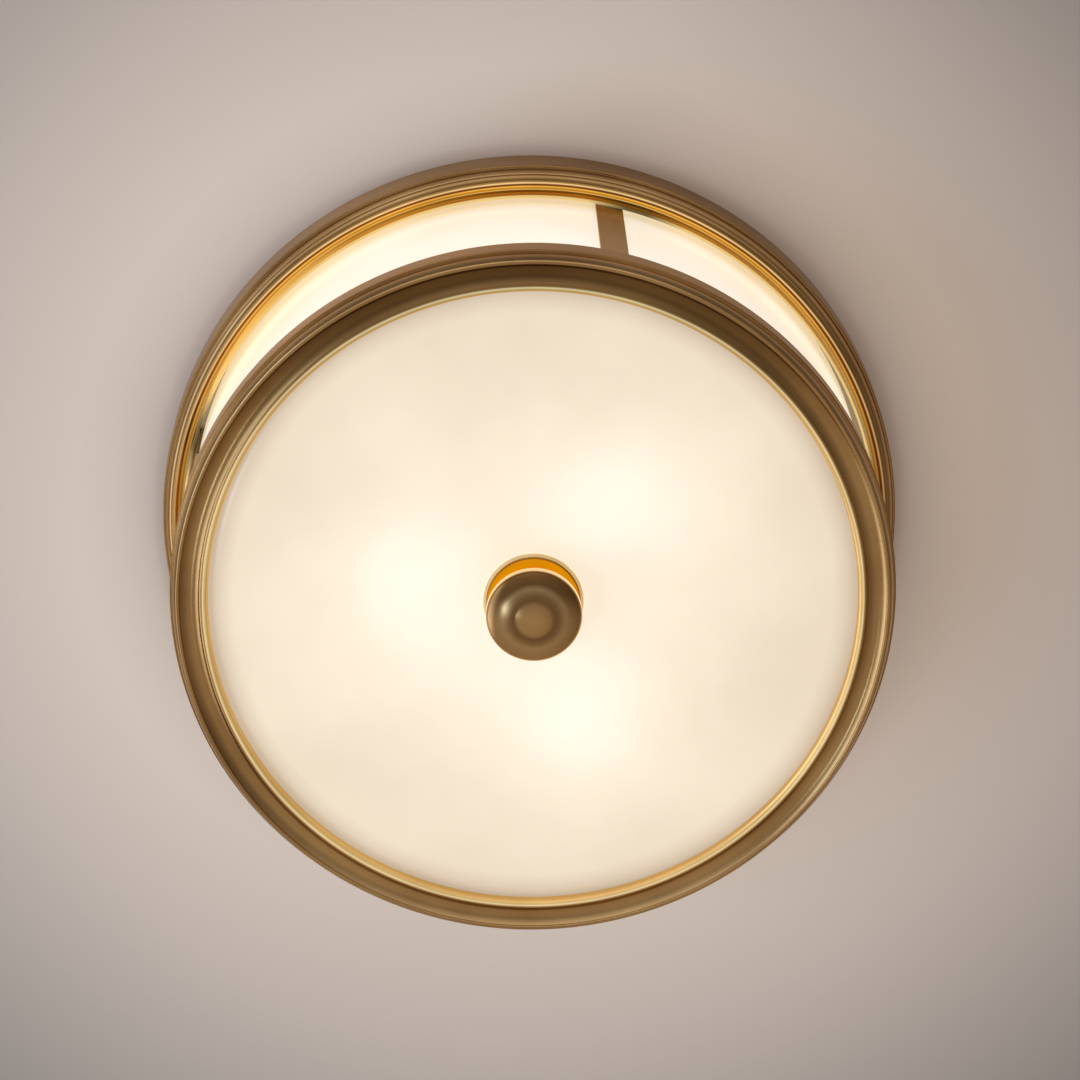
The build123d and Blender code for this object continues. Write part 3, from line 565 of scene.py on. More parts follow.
# Crossbar: flat steel bar with rounded corners and two slots for the outlet box's screws. The rod
# screws into its middle and the ground screw beside it. Bright zinc plate.
def pick(parts, piece, wanted):
    """Select the edges or the faces of a piece that pass a test, and leave edit mode on."""
    bpy.ops.object.mode_set(mode="EDIT")
    bpy.ops.mesh.select_mode(type=parts)
    bpy.ops.mesh.select_all(action="DESELECT")
    bpy.ops.object.mode_set(mode="OBJECT")
    for part in piece.data.edges if parts == "EDGE" else piece.data.polygons:
        part.select = wanted(part)
    bpy.ops.object.mode_set(mode="EDIT")


def block(name, middle, size):
    """A block of a size round a middle, both in millimetres."""
    bpy.ops.object.select_all(action="DESELECT")
    bpy.ops.mesh.primitive_cube_add(size=0.001, location=[value / metre for value in middle], scale=size)
    piece = bpy.context.object
    piece.name = name
    bpy.ops.object.transform_apply(location=True, rotation=True, scale=True)
    return piece


def rounded_bar(name, middle, length, width, top, bottom, corner):
    """A flat bar along X with its upright corners rounded."""
    piece = block(name, (middle, 0.0, (top + bottom) / 2.0), (length, width, top - bottom))

    def upright(edge):
        """Whether an edge runs up and down."""
        one, two = (piece.data.vertices[k].co.z for k in edge.vertices)
        return abs(one - two) > 0.5 / metre

    pick("EDGE", piece, upright)
    bpy.ops.mesh.bevel(offset=corner / metre, segments=8, affect="EDGES")
    bpy.ops.object.mode_set(mode="OBJECT")
    return piece


def softened(piece, width):
    """Break the sharp edges of a piece by a small rounding."""
    picked(piece)
    edge = piece.modifiers.new("edge", "BEVEL")
    edge.width = width / metre
    edge.segments = 2
    edge.limit_method = "ANGLE"
    edge.angle_limit = radians(50.0)
    bpy.ops.object.modifier_apply(modifier="edge")
    bpy.ops.object.shade_smooth_by_angle(angle=radians(crease))


bar_length, bar_width, bar_thickness, bar_corner = 116.0, 22.0, 2.5, 6.0
box_screw_spacing, slot_length, slot_width = 88.9, 16.0, 5.2
rod_radius = 25.4 / 8.0
bar = rounded_bar("crossbar_steel", 0.0, bar_length, bar_width, 0.0, -bar_thickness, bar_corner)
for middle in (-box_screw_spacing / 2.0, box_screw_spacing / 2.0):
    cut(bar, rounded_bar("slot_tool", middle, slot_length, slot_width, 2.0, -5.0, slot_width / 2.0 - 0.01))
drilled(bar, [(0.0, 0.0, rod_radius), (*ground_on_bar, ground_hole)], 2.0, -5.0)
softened(bar, 0.25)
bar.data.materials.append(zinc)
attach(bar, "fitting")
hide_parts("crossbar")


# Centre rod: brass rod with a fine thread from end to end, screwed into the crossbar and hanging
# down the middle of the light to the finial.
thread_weld = 0.000002
flat_cut = 0.0000001
thread_crease = 28.0


def threaded(name, tooth, pitch, top, bottom, steps):
    """A right-hand thread between two heights as one winding skin, closed flat at both ends. The
    tooth is one pitch of the outline: radius and rise, in millimetres."""
    low = bottom - 2.0 * pitch
    piece = first_point(name, tooth[0][0], low)
    here = (tooth[0][0], low)
    for turn in range(ceil((top - bottom) / pitch) + 4):
        for radius, rise in tooth[1:] + [(tooth[0][0], pitch)]:
            here = draw_on(here, (radius, low + turn * pitch + rise))
    bpy.ops.object.mode_set(mode="OBJECT")
    winding = piece.modifiers.new("winding", "SCREW")
    winding.steps = steps
    winding.render_steps = steps
    winding.screw_offset = pitch / metre
    winding.use_merge_vertices = False
    bpy.ops.object.modifier_apply(modifier="winding")
    bpy.ops.object.mode_set(mode="EDIT")
    bpy.ops.mesh.select_all(action="SELECT")
    bpy.ops.mesh.remove_doubles(threshold=thread_weld)
    bpy.ops.mesh.select_all(action="SELECT")
    bpy.ops.mesh.bisect(plane_co=(0.0, 0.0, bottom / metre), plane_no=(0.0, 0.0, 1.0),
                        use_fill=True, clear_inner=True, threshold=flat_cut)
    bpy.ops.mesh.select_all(action="SELECT")
    bpy.ops.mesh.bisect(plane_co=(0.0, 0.0, top / metre), plane_no=(0.0, 0.0, 1.0),
                        use_fill=True, clear_outer=True, threshold=flat_cut)
    bpy.ops.mesh.select_all(action="SELECT")
    bpy.ops.mesh.normals_make_consistent(inside=False)
    bpy.ops.object.mode_set(mode="OBJECT")
    bpy.ops.object.shade_smooth_by_angle(angle=radians(thread_crease))
    return piece


centre_thread = 25.4 / 27.0
rod = threaded("centre_rod_thread", [
    (2.75, 0.0), (2.75, 0.06), (3.12, 0.42), (3.16, 0.47), (3.12, 0.52), (2.75, 0.88)],
    centre_thread, -0.2, -170.0, 18)
drawn_brass = clouded("drawn_brass", (60.0, 6.0), [(0.30, (0.50, 0.335, 0.125)), (0.66, (0.70, 0.50, 0.215))],
                      (0.20, 0.38), (1100.0, 3.0), 0.08, 0.0003, metallic=1.0)
rod.data.materials.append(drawn_brass)
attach(rod, "fitting")
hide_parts("centre_rod")


# Two hexagon nuts on the rod, one under the crossbar and one clamping the pan through a flat washer.
# Steel, chamfered above and below, zinc plated.
nut_corners, nut_height, nut_middle = 6.4086, 4.6, -2.4
washer_under = -19.2
bpy.ops.object.select_all(action="DESELECT")
bpy.ops.mesh.primitive_cylinder_add(
    vertices=6, radius=nut_corners / metre, depth=nut_height / metre,
    rotation=(0.0, 0.0, pi / 2.0), location=(0.0, 0.0, nut_middle / metre))
nut = bpy.context.object
bpy.ops.object.transform_apply(location=True, rotation=True, scale=True)
blank = turned("nut_blank", [
    (3.19, -0.5), (3.5, -0.02), (5.35, -0.02), (6.5, -0.62), (6.5, -4.18), (5.35, -4.78), (3.5, -4.78),
    (3.19, -4.3)], steps=48)
cut(nut, blank, "INTERSECT")
softened(nut, 0.12)
nut.data.materials.append(zinc)
nuts = copied(nut, "rod_hex_nuts", [((0.0, 0.0, top), 0.0) for top in (-bar_thickness, washer_under)])
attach(nuts, "fitting")
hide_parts("rod_nuts")

washer = turned("pan_clamp_washer", [
    (3.425, -18.2), (3.6, -18.02), (10.85, -18.02), (11.0, -18.15), (11.0, -19.05), (10.85, -19.18),
    (3.6, -19.18), (3.425, -19.0)], steps=64)
washer.data.materials.append(zinc)
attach(washer, "fitting")
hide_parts("pan_washer")


# Ground screws and lead: a green-dyed screw in the crossbar and one in the pan, joined by a bare
# copper lead with an eye at each end.
def pan_head_screw(name, shank):
    """A screw pointing up from its head's upper face, with a cross recess below."""
    screw = turned(name, (
        [(0.0, shank), (1.5, shank), (1.99, shank - 0.5), (1.99, 0.0), (3.45, 0.0), (3.6, -0.15), (3.6, -0.8)]
        + bend((3.6, -0.8), (2.1, -1.85), (0.0, -2.2), 7)[1:]), steps=32)
    for length, width in ((3.6, 0.8), (0.8, 3.6)):
        cut(screw, block("driver", (0.0, 0.0, -2.2), (length, width, 2.0)))
    return screw


green = plated("green_dyed_zinc", (0.035, 0.17, 0.07), (0.09, 0.33, 0.15), 0.28)
bar_screw = pan_head_screw("bar_screw", 5.0)
bar_screw.data.materials.append(green)
upper = placed_copy(bar_screw, "upper_screw", (*ground_on_bar, -5.1))
picked(bar_screw)
bar_screw.rotation_euler = (pi, 0.0, radians(20.0))
bpy.ops.object.transform_apply(rotation=True)
lower_screw = placed_copy(bar_screw, "lower_screw", (*ground_on_pan, -14.4))
bpy.data.objects.remove(bar_screw)
ground = joined("ground_screw_pair", [upper, lower_screw])
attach(ground, "fitting")
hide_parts("ground_screws")

copper = clouded("bare_copper_wire", (120.0, 5.0), [(0.30, (0.42, 0.165, 0.085)), (0.65, (0.72, 0.33, 0.19))],
                 (0.22, 0.42), (800.0, 3.0), 0.10, 0.0003, metallic=1.0)
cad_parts["ground_lead"].data.materials.clear()
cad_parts["ground_lead"].data.materials.append(copper)


# Three lampholders: glazed white porcelain with a flange for two screws, a screw shell of rolled
# brass in the cup, and a sprung brass contact at the bottom of it.
porcelain, shader, place = new_finish("porcelain_glaze")
cloud = mottle(place, 30.0, 4.0)
white = tint(cloud, [(0.35, (0.74, 0.73, 0.69)), (0.70, (0.82, 0.815, 0.79))])
pins = between(mottle(place, 700.0, 2.0), 0.22, 0.32, 0.72, 1.0)
feed(shader, {"Base Color": times(white, pins), "Roughness": between(cloud, 0.2, 0.8, 0.10, 0.22),
              "Coat Weight": 0.5, "Coat Roughness": 0.06})
raised(shader, mottle(place, 120.0, 3.0), 0.08, 0.0008)

lamp_pitch = 3.629
flange_radius, socket_hole = 28.0, 1.15
cup = turned("holder_cup", (
    [(0.0, -23.4), (13.85, -23.4), (13.85, -50.4), (14.15, -51.0), (17.5, -51.0)]
    + bend((17.5, -51.0), (18.56, -50.56), (19.0, -49.5), 5)[1:]
    + [(19.0, -36.0), (19.0, -22.9)]
    + bend((19.0, -22.9), (19.26, -22.26), (19.9, -22.0), 3)[1:]
    + [(26.9, -22.0)]
    + bend((27.0, -22.0), (27.7, -21.7), (flange_radius, -21.0), 4)
    + [(flange_radius, -18.3), (27.7, -18.0), (0.0, -18.0)]), steps=96)
cup.data.materials.append(porcelain)
liner_rings = []
for ring in range(6):
    rise = lamp_pitch * ring
    liner_rings += bend((13.42, -49.0 + rise), (13.17, -47.19 + rise), (13.42, -45.38 + rise), 6)[:-1]
liner = turned("holder_liner", (
    [(13.8, -49.9), (13.42, -49.9)] + liner_rings
    + [(13.42, -27.2), (13.35, -24.3), (12.9, -23.9), (6.0, -23.9), (6.0, -23.42), (13.8, -23.42)]
    + [(13.8, -36.0)]), steps=72)
liner.data.materials.append(drawn_brass)
leaf = turned("holder_leaf", (
    [(0.0, -23.42), (4.4, -23.42), (4.6, -23.55), (4.6, -23.8), (4.4, -23.9), (3.0, -23.9)]
    + bend((3.0, -23.9), (1.7, -24.63), (0.0, -25.0), 6)[1:]), steps=40)
leaf.data.materials.append(drawn_brass)
for number, angle in enumerate(lamp_places, start=1):
    x, y = round_about(lamp_circle, angle)
    for piece, part, slot in ((cup, "body", "porcelain"), (liner, "shell", "plain_brass"),
                              (leaf, "contact", "plain_brass")):
        twin = placed_copy(piece, f"lampholder_{number}_{part}", (x, y, 0.0), angle)
        if part == "body":
            leads = [(hx, hy) for hx, hy in lead_places() if hypot(hx - x, hy - y) < flange_radius]
            drilled(twin, [(*hole, socket_hole) for hole in leads], -17.0, -21.05)
            drilled(twin, [(*place, holder_screw_hole) for at, step, place in holder_screw_places
                           if at == angle], -16.0, -24.0)
        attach(twin, "fitting")
        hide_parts(f"holder_{number}_{part}")
for piece in (cup, liner, leaf):
    bpy.data.objects.remove(piece)

screw = pan_head_screw("holder_screw", 6.4)
screw.data.materials.append(zinc)
screws = copied(screw, "lampholder_screws", [
    ((*place, -22.0), angle + step * 1.5) for angle, step, place in holder_screw_places])
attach(screws, "fitting")
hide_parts("holder_screws")


# Leads between the lampholders, above the pan: black and white plastic covers over copper, each
# ending in an orange wire nut with ribs for the fingers.
def wire_cover(name, deep, pale):
    """Satin plastic cover of a lead, with faint drawn marks and handling dust."""
    return clouded(name, (150.0, 5.0), [(0.30, deep), (0.70, pale)], (0.34, 0.52), (600.0, 3.0), 0.15, 0.0003)


for lead, cover in (("black_leads", wire_cover("black_cover", (0.012, 0.012, 0.013), (0.035, 0.034, 0.034))),
                    ("white_leads", wire_cover("white_cover", (0.66, 0.655, 0.62), (0.78, 0.775, 0.75)))):
    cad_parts[lead].data.materials.clear()
    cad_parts[lead].data.materials.append(cover)

cone = turned("wire_nut_cone", (
    [(0.0, 0.0), (3.1, 0.0)]
    + bend((3.1, 0.0), (3.85, 0.45), (4.05, 1.5), 4)[1:]
    + [(4.2, 4.0), (4.75, 12.0), (5.1, 16.6), (5.5, 17.2), (5.95, 19.6), (5.75, 20.0), (4.7, 20.0)]
    + [(1.2, 14.0), (0.0, 14.0)]), steps=64)


rib_count, rib_height = 16, 0.35


def rib(face):
    """Whether a face is on one of the ribs, which are as wide as the gaps between them."""
    middle = face.center * metre
    column = floor(atan2(middle.y, middle.x) / (2.0 * pi) * 2.0 * rib_count)
    return hypot(middle.x, middle.y) > 3.9 and 1.8 < middle.z < 16.5 and column % 2 == 0


pick("FACE", cone, rib)
bpy.ops.mesh.extrude_region_shrink_fatten(TRANSFORM_OT_shrink_fatten={"value": rib_height / metre})
bpy.ops.object.mode_set(mode="OBJECT")
bpy.ops.object.shade_smooth_by_angle(angle=radians(crease))
cone.data.materials.append(clouded(
    "orange_nut_plastic", (90.0, 4.0), [(0.30, (0.62, 0.185, 0.025)), (0.70, (0.78, 0.27, 0.045))],
    (0.30, 0.44), (700.0, 2.0), 0.10, 0.0003))
picked(cone)
cone.rotation_euler = (0.0, pi / 2.0, 0.0)
bpy.ops.object.transform_apply(rotation=True)
wire_nut_circle, wire_nut_height = 32.0, -10.0
for name, sideways in (("black_wire_nut", tail_step), ("white_wire_nut", lead_step)):
    nut_place = (*round_about(wire_nut_circle, lamp_places[2], sideways), wire_nut_height)
    twin = placed_copy(cone, name + "_ribbed", nut_place, lamp_places[2])
    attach(twin, "fitting")
    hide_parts(name)
bpy.data.objects.remove(cone)


# Three lamps: a frosted glass bulb cemented in a rolled brass screw cap, with black glass round the
# solder tip. The caps' threads are rolled, 3.6 mm from turn to turn. The bulbs are lit.
bulb = turned("lamp_glass", (
    [(0.0, -55.32), (12.45, -55.32), (12.45, -57.3), (12.88, -60.79), (14.06, -64.27), (15.82, -67.78)]
    + [(18.0, -71.36), (20.41, -75.05), (22.9, -78.87), (25.28, -82.88)]
    + bend((27.41, -87.1), (29.97, -99.3), (24.0, -117.3), 16)
    + bend((24.0, -117.3), (14.0, -125.83), (0.0, -129.3), 12)[1:]), steps=64)
material, shader, place = new_finish("frosted_glass_lit")
heat = by_axis(place, "Z", -60.0, -98.0)
fire = tint(heat, [(0.0, (0.30, 0.23, 0.15)), (0.5, (0.58, 0.49, 0.36)), (1.0, (0.74, 0.68, 0.55))])
frost = mottle(place, 60.0, 5.0)
feed(shader, {"Emission Color": times(fire, between(frost, 0.3, 0.7, 0.93, 1.0)), "Emission Strength": 0.8,
              "Base Color": tint(frost, [(0.3, (0.62, 0.61, 0.58)), (0.7, (0.70, 0.69, 0.66))]),
              "Roughness": between(frost, 0.2, 0.8, 0.22, 0.36)})
raised(shader, frost, 0.04, 0.0006)
bulb.data.materials.append(material)

cap_tooth = [(12.5, 0.0)] + bend((12.5, 0.25), (13.04, 1.81), (12.5, 3.38), 10)
cap_top, cap_bottom = -32.8, -51.0
cap = threaded("lamp_cap", cap_tooth, lamp_pitch, cap_top, cap_bottom, 64)


def stepped_end(height, steps):
    """Draw the cap's flat end at a height out by steps, each a rise with a ratio of its size."""
    pick("FACE", cap, lambda face: abs(face.center.z * metre - height) < 0.01 and abs(face.normal.z) > 0.99)
    for rise, ratio in steps:
        bpy.ops.mesh.extrude_region_move(TRANSFORM_OT_translate={"value": (0.0, 0.0, rise / metre)})
        height += rise
        bpy.ops.transform.resize(value=(ratio, ratio, 1.0), center_override=(0.0, 0.0, height / metre))
    bpy.ops.object.mode_set(mode="OBJECT")


stepped_end(cap_top, ((0.5, 0.985), (1.0, 0.90), (1.0, 0.80)))
stepped_end(cap_bottom, ((-0.7, 1.0), (-3.3, 1.0), (-0.3, 0.985)))
bpy.ops.object.shade_smooth_by_angle(angle=radians(crease))
cap.data.materials.append(drawn_brass)

insulator = turned("lamp_insulator_cone", [
    (0.0, -27.1), (5.0, -27.1), (5.3, -27.3), (8.6, -29.9), (8.95, -30.28), (0.0, -30.28)], steps=48)
insulator.data.materials.append(clouded(
    "black_cap_glass", (200.0, 4.0), [(0.3, (0.010, 0.009, 0.013)), (0.7, (0.035, 0.028, 0.040))],
    (0.10, 0.24), (200.0, 4.0), 0.15, 0.0004))

tip = turned("lamp_tip_solder", (
    [(0.0, -27.1), (4.5, -27.1), (4.6, -26.9)]
    + bend((4.5, -26.85), (2.7, -25.85), (0.0, -25.35), 7)), steps=40)
tip.data.materials.append(clouded(
    "solder_tin", (260.0, 4.0), [(0.3, (0.42, 0.42, 0.43)), (0.7, (0.66, 0.66, 0.66))],
    (0.25, 0.50), (260.0, 4.0), 0.35, 0.0006, metallic=1.0))

for number, angle in enumerate(lamp_places, start=1):
    x, y = round_about(lamp_circle, angle)
    for piece, part, slot in ((bulb, "bulb", "frosted_glass"), (cap, "cap", "plain_brass"),
                              (insulator, "insulator", "black_glass"), (tip, "tip", "solder")):
        twin = placed_copy(piece, f"lamp_{number}_{part}_made", (x, y, 0.0), angle)
        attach(twin, f"lamp_{number}_foot" if part == "tip" else f"lamp_{number}")
        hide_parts(f"lamp_{number}_{part}")
for piece in (bulb, cap, insulator, tip):
    bpy.data.objects.remove(piece)


# Four rubber bumpers under the pan's flange, over the hooks of the cage, moulded black rubber with
# a fine dull skin.
strap_places = [-69.7 + 90.0 * k for k in range(4)]
bumper_circle, bumper_radius = 195.2, 2.4
bumper = turned("bumper", (
    [(0.0, -1.0), (bumper_radius, -1.0), (bumper_radius, -2.4)]
    + bend((bumper_radius, -2.4), (2.25, -2.75), (1.9, -2.9), 3)[1:]
    + [(0.0, -2.9)]), steps=28)
rubber = clouded("black_rubber_skin", (130.0, 6.0),
                 [(0.3, (0.014, 0.014, 0.014)), (0.7, (0.042, 0.040, 0.038))],
                 (0.62, 0.82), (1200.0, 4.0), 0.35, 0.0004)
bumper.data.materials.append(rubber)
bumpers = copied(bumper, "cage_bumpers", [
    ((*round_about(bumper_circle, angle), 0.0), 0.0) for angle in strap_places])
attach(bumpers, "fitting")
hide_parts("stop_bumpers")


# Top hoop of the cage: a plain brass hoop brazed round the four straps, with its lower edge rounded.
# It slides up inside the canopy's lip. Its brass is darkened as painted shade under the canopy, with a
# painted golden glow from the glass, brightest on one side, a painted cream line along its lower edge,
# and a painted shadow behind each strap.
hoop = turned("cage_top_hoop", (
    [(202.1, -24.0), (203.0, -24.0), (203.2, -24.2), (203.2, -32.0)]
    + bend((203.2, -42.35), (202.55, -43.0), (201.9, -42.35), 8)
    + [(201.9, -32.0), (201.9, -24.2)]), steps=256)
# Darker, redder brass than the other parts: painted shade under the canopy.
hoop_brass = aged_brass("aged_brass_hoop", lathe_lines, (0.20, 0.085, 0.012), (0.30, 0.14, 0.03))
shader, place = reopened(hoop_brass)
# Painted glow from the glass, brightest on the -X side.
painted_glow_by_side = tint(by_axis(place, "X", 200.0, -190.0), [
    (0.0, (0.32, 0.16, 0.03)), (0.30, (0.17, 0.055, 0.0)), (0.52, (0.12, 0.030, 0.0)),
    (0.75, (0.34, 0.16, 0.016)), (1.0, (1.0, 0.62, 0.15))])
# A painted cream line of glass light along the lower edge.
light = faded(painted_glow_by_side, by_axis(place, "Z", -39.6, -41.2), (0.66, 0.50, 0.20))
hoop_middle, behind_strap = 202.5, -36.0
shadow_start, shadow_end = 9.0 / metre, 30.0 / metre
# Painted shadow behind each strap, in both the glow and the brass's colour.
for angle in strap_places:
    strap_top = (*round_about(hoop_middle / metre, angle), behind_strap / metre)
    shadow = between(measured(place, "DISTANCE", strap_top), shadow_start, shadow_end, 0.15, 1.0)
    light = times(light, shadow)
    deepened(shader, shadow)
feed(shader, {"Emission Color": light, "Emission Strength": 1.0})
hoop.data.materials.append(hoop_brass)
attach(hoop, "shade")
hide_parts("top_hoop")


# Four cage straps: flat brass strip, curved to the hoop, with the top bent in over the glass's rim.
# Brazed to the hoop and to the lower ring. Drawn strip, so its marks run up and down. Painted shade
# darkens each strap towards its top, next to the hoop.
def drawn_lines(place):
    """Fine marks that run up and down the strip, as the drawing rolls leave them."""
    return mottle(place, 1300.0, 2.0, (1.0, 1.0, 0.02))


def spread(width, radius):
    """How many degrees of a circle a width takes up, both in millimetres."""
    return width / radius * 180.0 / pi


strip_brass = aged_brass("aged_brass_strip", drawn_lines)
shader, place = reopened(strip_brass)
# Painted shade: darker towards the top of the strap.
deepened(shader, by_axis(place, "Z", -44.0, -62.0, 0.30, 1.0))
strap_width, strap_radius = 15.9, 201.9
strap_spread = spread(strap_width, strap_radius)
strap = turned("cage_strap", (
    [(193.9, -3.4), (194.1, -3.2)]
    + bend((199.7, -3.2), (201.25, -3.85), (201.9, -5.4), 8)
    + [(201.9, -40.0), (201.9, -90.0), (201.9, -152.4), (200.3, -152.4), (200.3, -90.0), (200.3, -40.0)]
    + bend((200.3, -5.6), (200.06, -5.04), (199.5, -4.8), 4)
    + [(194.1, -4.8), (193.9, -4.6)]), steps=10, sweep=strap_spread)
softened(strap, 0.22)
strap.data.materials.append(strip_brass)
for number, middle in enumerate(strap_places, start=1):
    twin = placed_copy(strap, f"cage_strap_{number}", (0.0, 0.0, 0.0), middle - strap_spread / 2.0)
    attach(twin, "shade")
    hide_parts(f"strap_{number}")
bpy.data.objects.remove(strap)

pad_width, glass_radius = 13.9, 198.4
pad_spread = spread(pad_width, glass_radius)
pad = turned("hook_pad", [(194.0, -4.8), (196.8, -4.8), (196.9, -4.95), (196.9, -6.2), (196.8, -6.3),
                          (194.0, -6.3), (193.9, -6.2), (193.9, -4.95)], steps=8, sweep=pad_spread)
softened(pad, 0.2)
pad.data.materials.append(rubber)
pads = copied(pad, "strap_hook_pads", [
    ((0.0, 0.0, 0.0), middle - pad_spread / 2.0) for middle in strap_places])
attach(pads, "shade")
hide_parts("strap_pads")


# Lower ring of the cage: brass moulding with a plain band, a quirk, a rounded nose, a narrow fillet, a
# broad shallow cove and a rolled bead that the glass looks out of. The bead has a painted glow all round,
# a reflection of the lit glass; the outer band is darkened by painted shade with some patina, and the cove
# by painted shade on the near side.
lower = turned("cage_lower_ring", (
    [(201.9, -139.6), (202.2, -139.3), (202.9, -139.3), (203.2, -139.6), (203.2, -146.0)]
    + bend((203.2, -153.1), (203.0, -153.6), (202.5, -153.8), 5)
    + [(201.8, -153.85), (201.4, -153.9)]
    + bend((201.4, -154.0), (201.17, -158.3), (199.2, -162.3), 14)
    + [(198.95, -162.4), (198.8, -162.4), (197.9, -162.4)]
    + bend((197.9, -162.4), (197.4, -162.1), (197.2, -161.4), 4)[1:]
    + bend((197.2, -161.4), (192.0, -159.1), (186.69, -161.0), 20)[1:]
    + bend((186.69, -161.0), (183.28, -161.97), (181.6, -159.4), 16)[1:]
    + [(181.6, -156.1), (181.8, -155.9), (182.9, -155.9), (183.1, -156.1), (183.1, -156.4)]
    + [(199.6, -156.4), (199.6, -152.4), (201.9, -152.4)]), steps=256)
ring_brass = aged_brass("aged_brass_ring", lathe_lines, (0.37, 0.22, 0.085), (0.51, 0.33, 0.145), 0.40)
# Painted shade with some patina, darker towards the outer band.
painted_bands_by_reach(ring_brass, 200.0, 204.0, [
    (200.8, (1.0, 1.0, 1.0)), (202.4, (0.72, 0.60, 0.44)), (203.1, (0.66, 0.50, 0.32))])
# Painted reflection of the lit glass on the bead, as emission.
painted_glow_by_reach(ring_brass, 181.0, 188.0, [
    (181.6, (0.26, 0.15, 0.03)), (182.6, (0.38, 0.24, 0.07)), (183.5, (0.46, 0.34, 0.13)),
    (184.3, (0.66, 0.60, 0.38)), (185.0, (0.16, 0.10, 0.03)), (185.8, (0.0, 0.0, 0.0))])
# Painted shade on the near side of the cove.
painted_shade_near_side(ring_brass, -40.0, -200.0, 196.0, 198.5, [
    (0.0, (0.34, 0.28, 0.16)), (0.30, (0.42, 0.36, 0.24)), (0.62, (0.82, 0.76, 0.66)),
    (1.0, (1.0, 1.0, 1.0))])
lower.data.materials.append(ring_brass)
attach(lower, "shade")
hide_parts("lower_ring")

gasket = turned("glass_gasket", (
    [(183.8, -156.2), (184.0, -156.4), (190.1, -156.4), (190.3, -156.2)]
    + bend((190.3, -148.5), (187.05, -150.92), (183.8, -152.6), 6)), steps=160)
gasket.data.materials.append(rubber)
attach(gasket, "shade")
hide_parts("ring_gasket")


# Glass drum: blown opal glass, flat below with a round shoulder, its rim ground flat. Its light from the
# lamps inside is painted as a glow, brightest under the three lamps and on the side wall, with a painted
# shadow on the shoulder by the lower ring and a painted warm shade next to the hoop. It keeps its soft
# gloss outside.
glass = turned("opal_drum", (
    [(5.5, -154.5), (40.0, -154.5), (80.0, -154.5), (120.0, -154.5), (150.0, -154.5)]
    + bend((174.4, -154.5), (191.37, -147.47), (198.4, -130.5), 16)
    + [(198.4, -100.0), (198.4, -60.0), (198.4, -7.5), (197.2, -6.3), (195.1, -6.3), (193.9, -7.5)]
    + [(193.9, -60.0), (193.9, -100.0)]
    + bend((193.9, -130.5), (188.19, -144.29), (174.4, -150.0), 12)
    + [(150.0, -150.0), (120.0, -150.0), (80.0, -150.0), (40.0, -150.0), (5.5, -150.0)]), steps=256)


lamp_middle = -100.0


def plus(value, more):
    """The sum of two values."""
    both = value.id_data.nodes.new("ShaderNodeMath")
    both.operation = "ADD"
    return feed(both, {0: value, 1: more}).outputs["Value"]


def light_of_lamp(place, angle):
    """Light that falls off with the square of the distance from the lamp at an angle."""
    lamp = (*round_about(lamp_circle / metre, angle), lamp_middle / metre)
    square = place.id_data.nodes.new("ShaderNodeMath")
    square.operation = "POWER"
    return feed(square, {0: measured(place, "DISTANCE", lamp), 1: -2.0}).outputs["Value"]


material, shader, place = new_finish("opal_glass_lit")
first, second, third = (light_of_lamp(place, angle) for angle in lamp_places)
level = between(plus(plus(first, second), third), 80.0, 520.0)
# Painted light: the side wall glows brighter than the bottom.
painted_wall_light = by_reach(place, 188.0, glass_radius, 0.0, 0.70)
clouds = between(mottle(place, 12.0), 0.3, 0.7, -0.13, 0.11)
painted_glow_tones = tint(plus(plus(level, painted_wall_light), clouds), [
    (0.0, (0.64, 0.545, 0.42)), (0.45, (0.80, 0.71, 0.565)), (1.0, (0.98, 0.93, 0.82))])
# Painted shadow on the shoulder by the lower ring.
painted_shoulder_shadow = tint(by_reach(place, 168.0, 198.0), [
    (0.0, (1.0, 1.0, 1.0)), (0.38, (0.74, 0.71, 0.69)), (0.70, (0.80, 0.78, 0.76)), (1.0, (1.0, 1.0, 1.0))])
# Painted warm shade next to the hoop.
painted_shade_by_hoop = tint(by_axis(place, "Z", -50.0, -38.0), [
    (0.0, (1.0, 1.0, 1.0)), (1.0, (0.92, 0.85, 0.67))])
cord_marks = mottle(place, 9.0)
feed(shader, {"Emission Color": times(times(painted_glow_tones, painted_shoulder_shadow), painted_shade_by_hoop), "Emission Strength": 0.9,
              "Base Color": tint(cord_marks, [(0.0, (0.42, 0.38, 0.33)), (1.0, (0.48, 0.44, 0.39))]),
              "Roughness": 0.22, "Coat Weight": 0.25, "Coat Roughness": 0.12})
raised(shader, cord_marks, 0.05, 0.002)
glass.data.materials.append(material)
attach(glass, "shade")
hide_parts("glass_drum")


# Bush in the glass's hole, turned from red vulcanised fibre, with a flange inside the drum, so that
# the rod never touches the glass. Below the glass a pale nylon washer keeps the brass off it, with the
# glass's light through it painted on as a glow.
bush = turned("rod_bush", [
    (3.625, -154.4), (3.75, -154.5), (5.4, -154.5), (5.5, -154.4), (5.5, -150.0), (8.85, -150.0),
    (9.0, -149.85), (9.0, -148.95), (8.85, -148.8), (3.75, -148.8), (3.625, -148.95)], steps=48)
layers = (160.0, 6.0, (1.0, 1.0, 5.0))
bush.data.materials.append(clouded(
    "red_vulcanised_fibre", layers, [(0.3, (0.16, 0.030, 0.016)), (0.7, (0.32, 0.075, 0.038))],
    (0.50, 0.72), layers, 0.25, 0.0004))
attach(bush, "shade")
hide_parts("glass_bush")

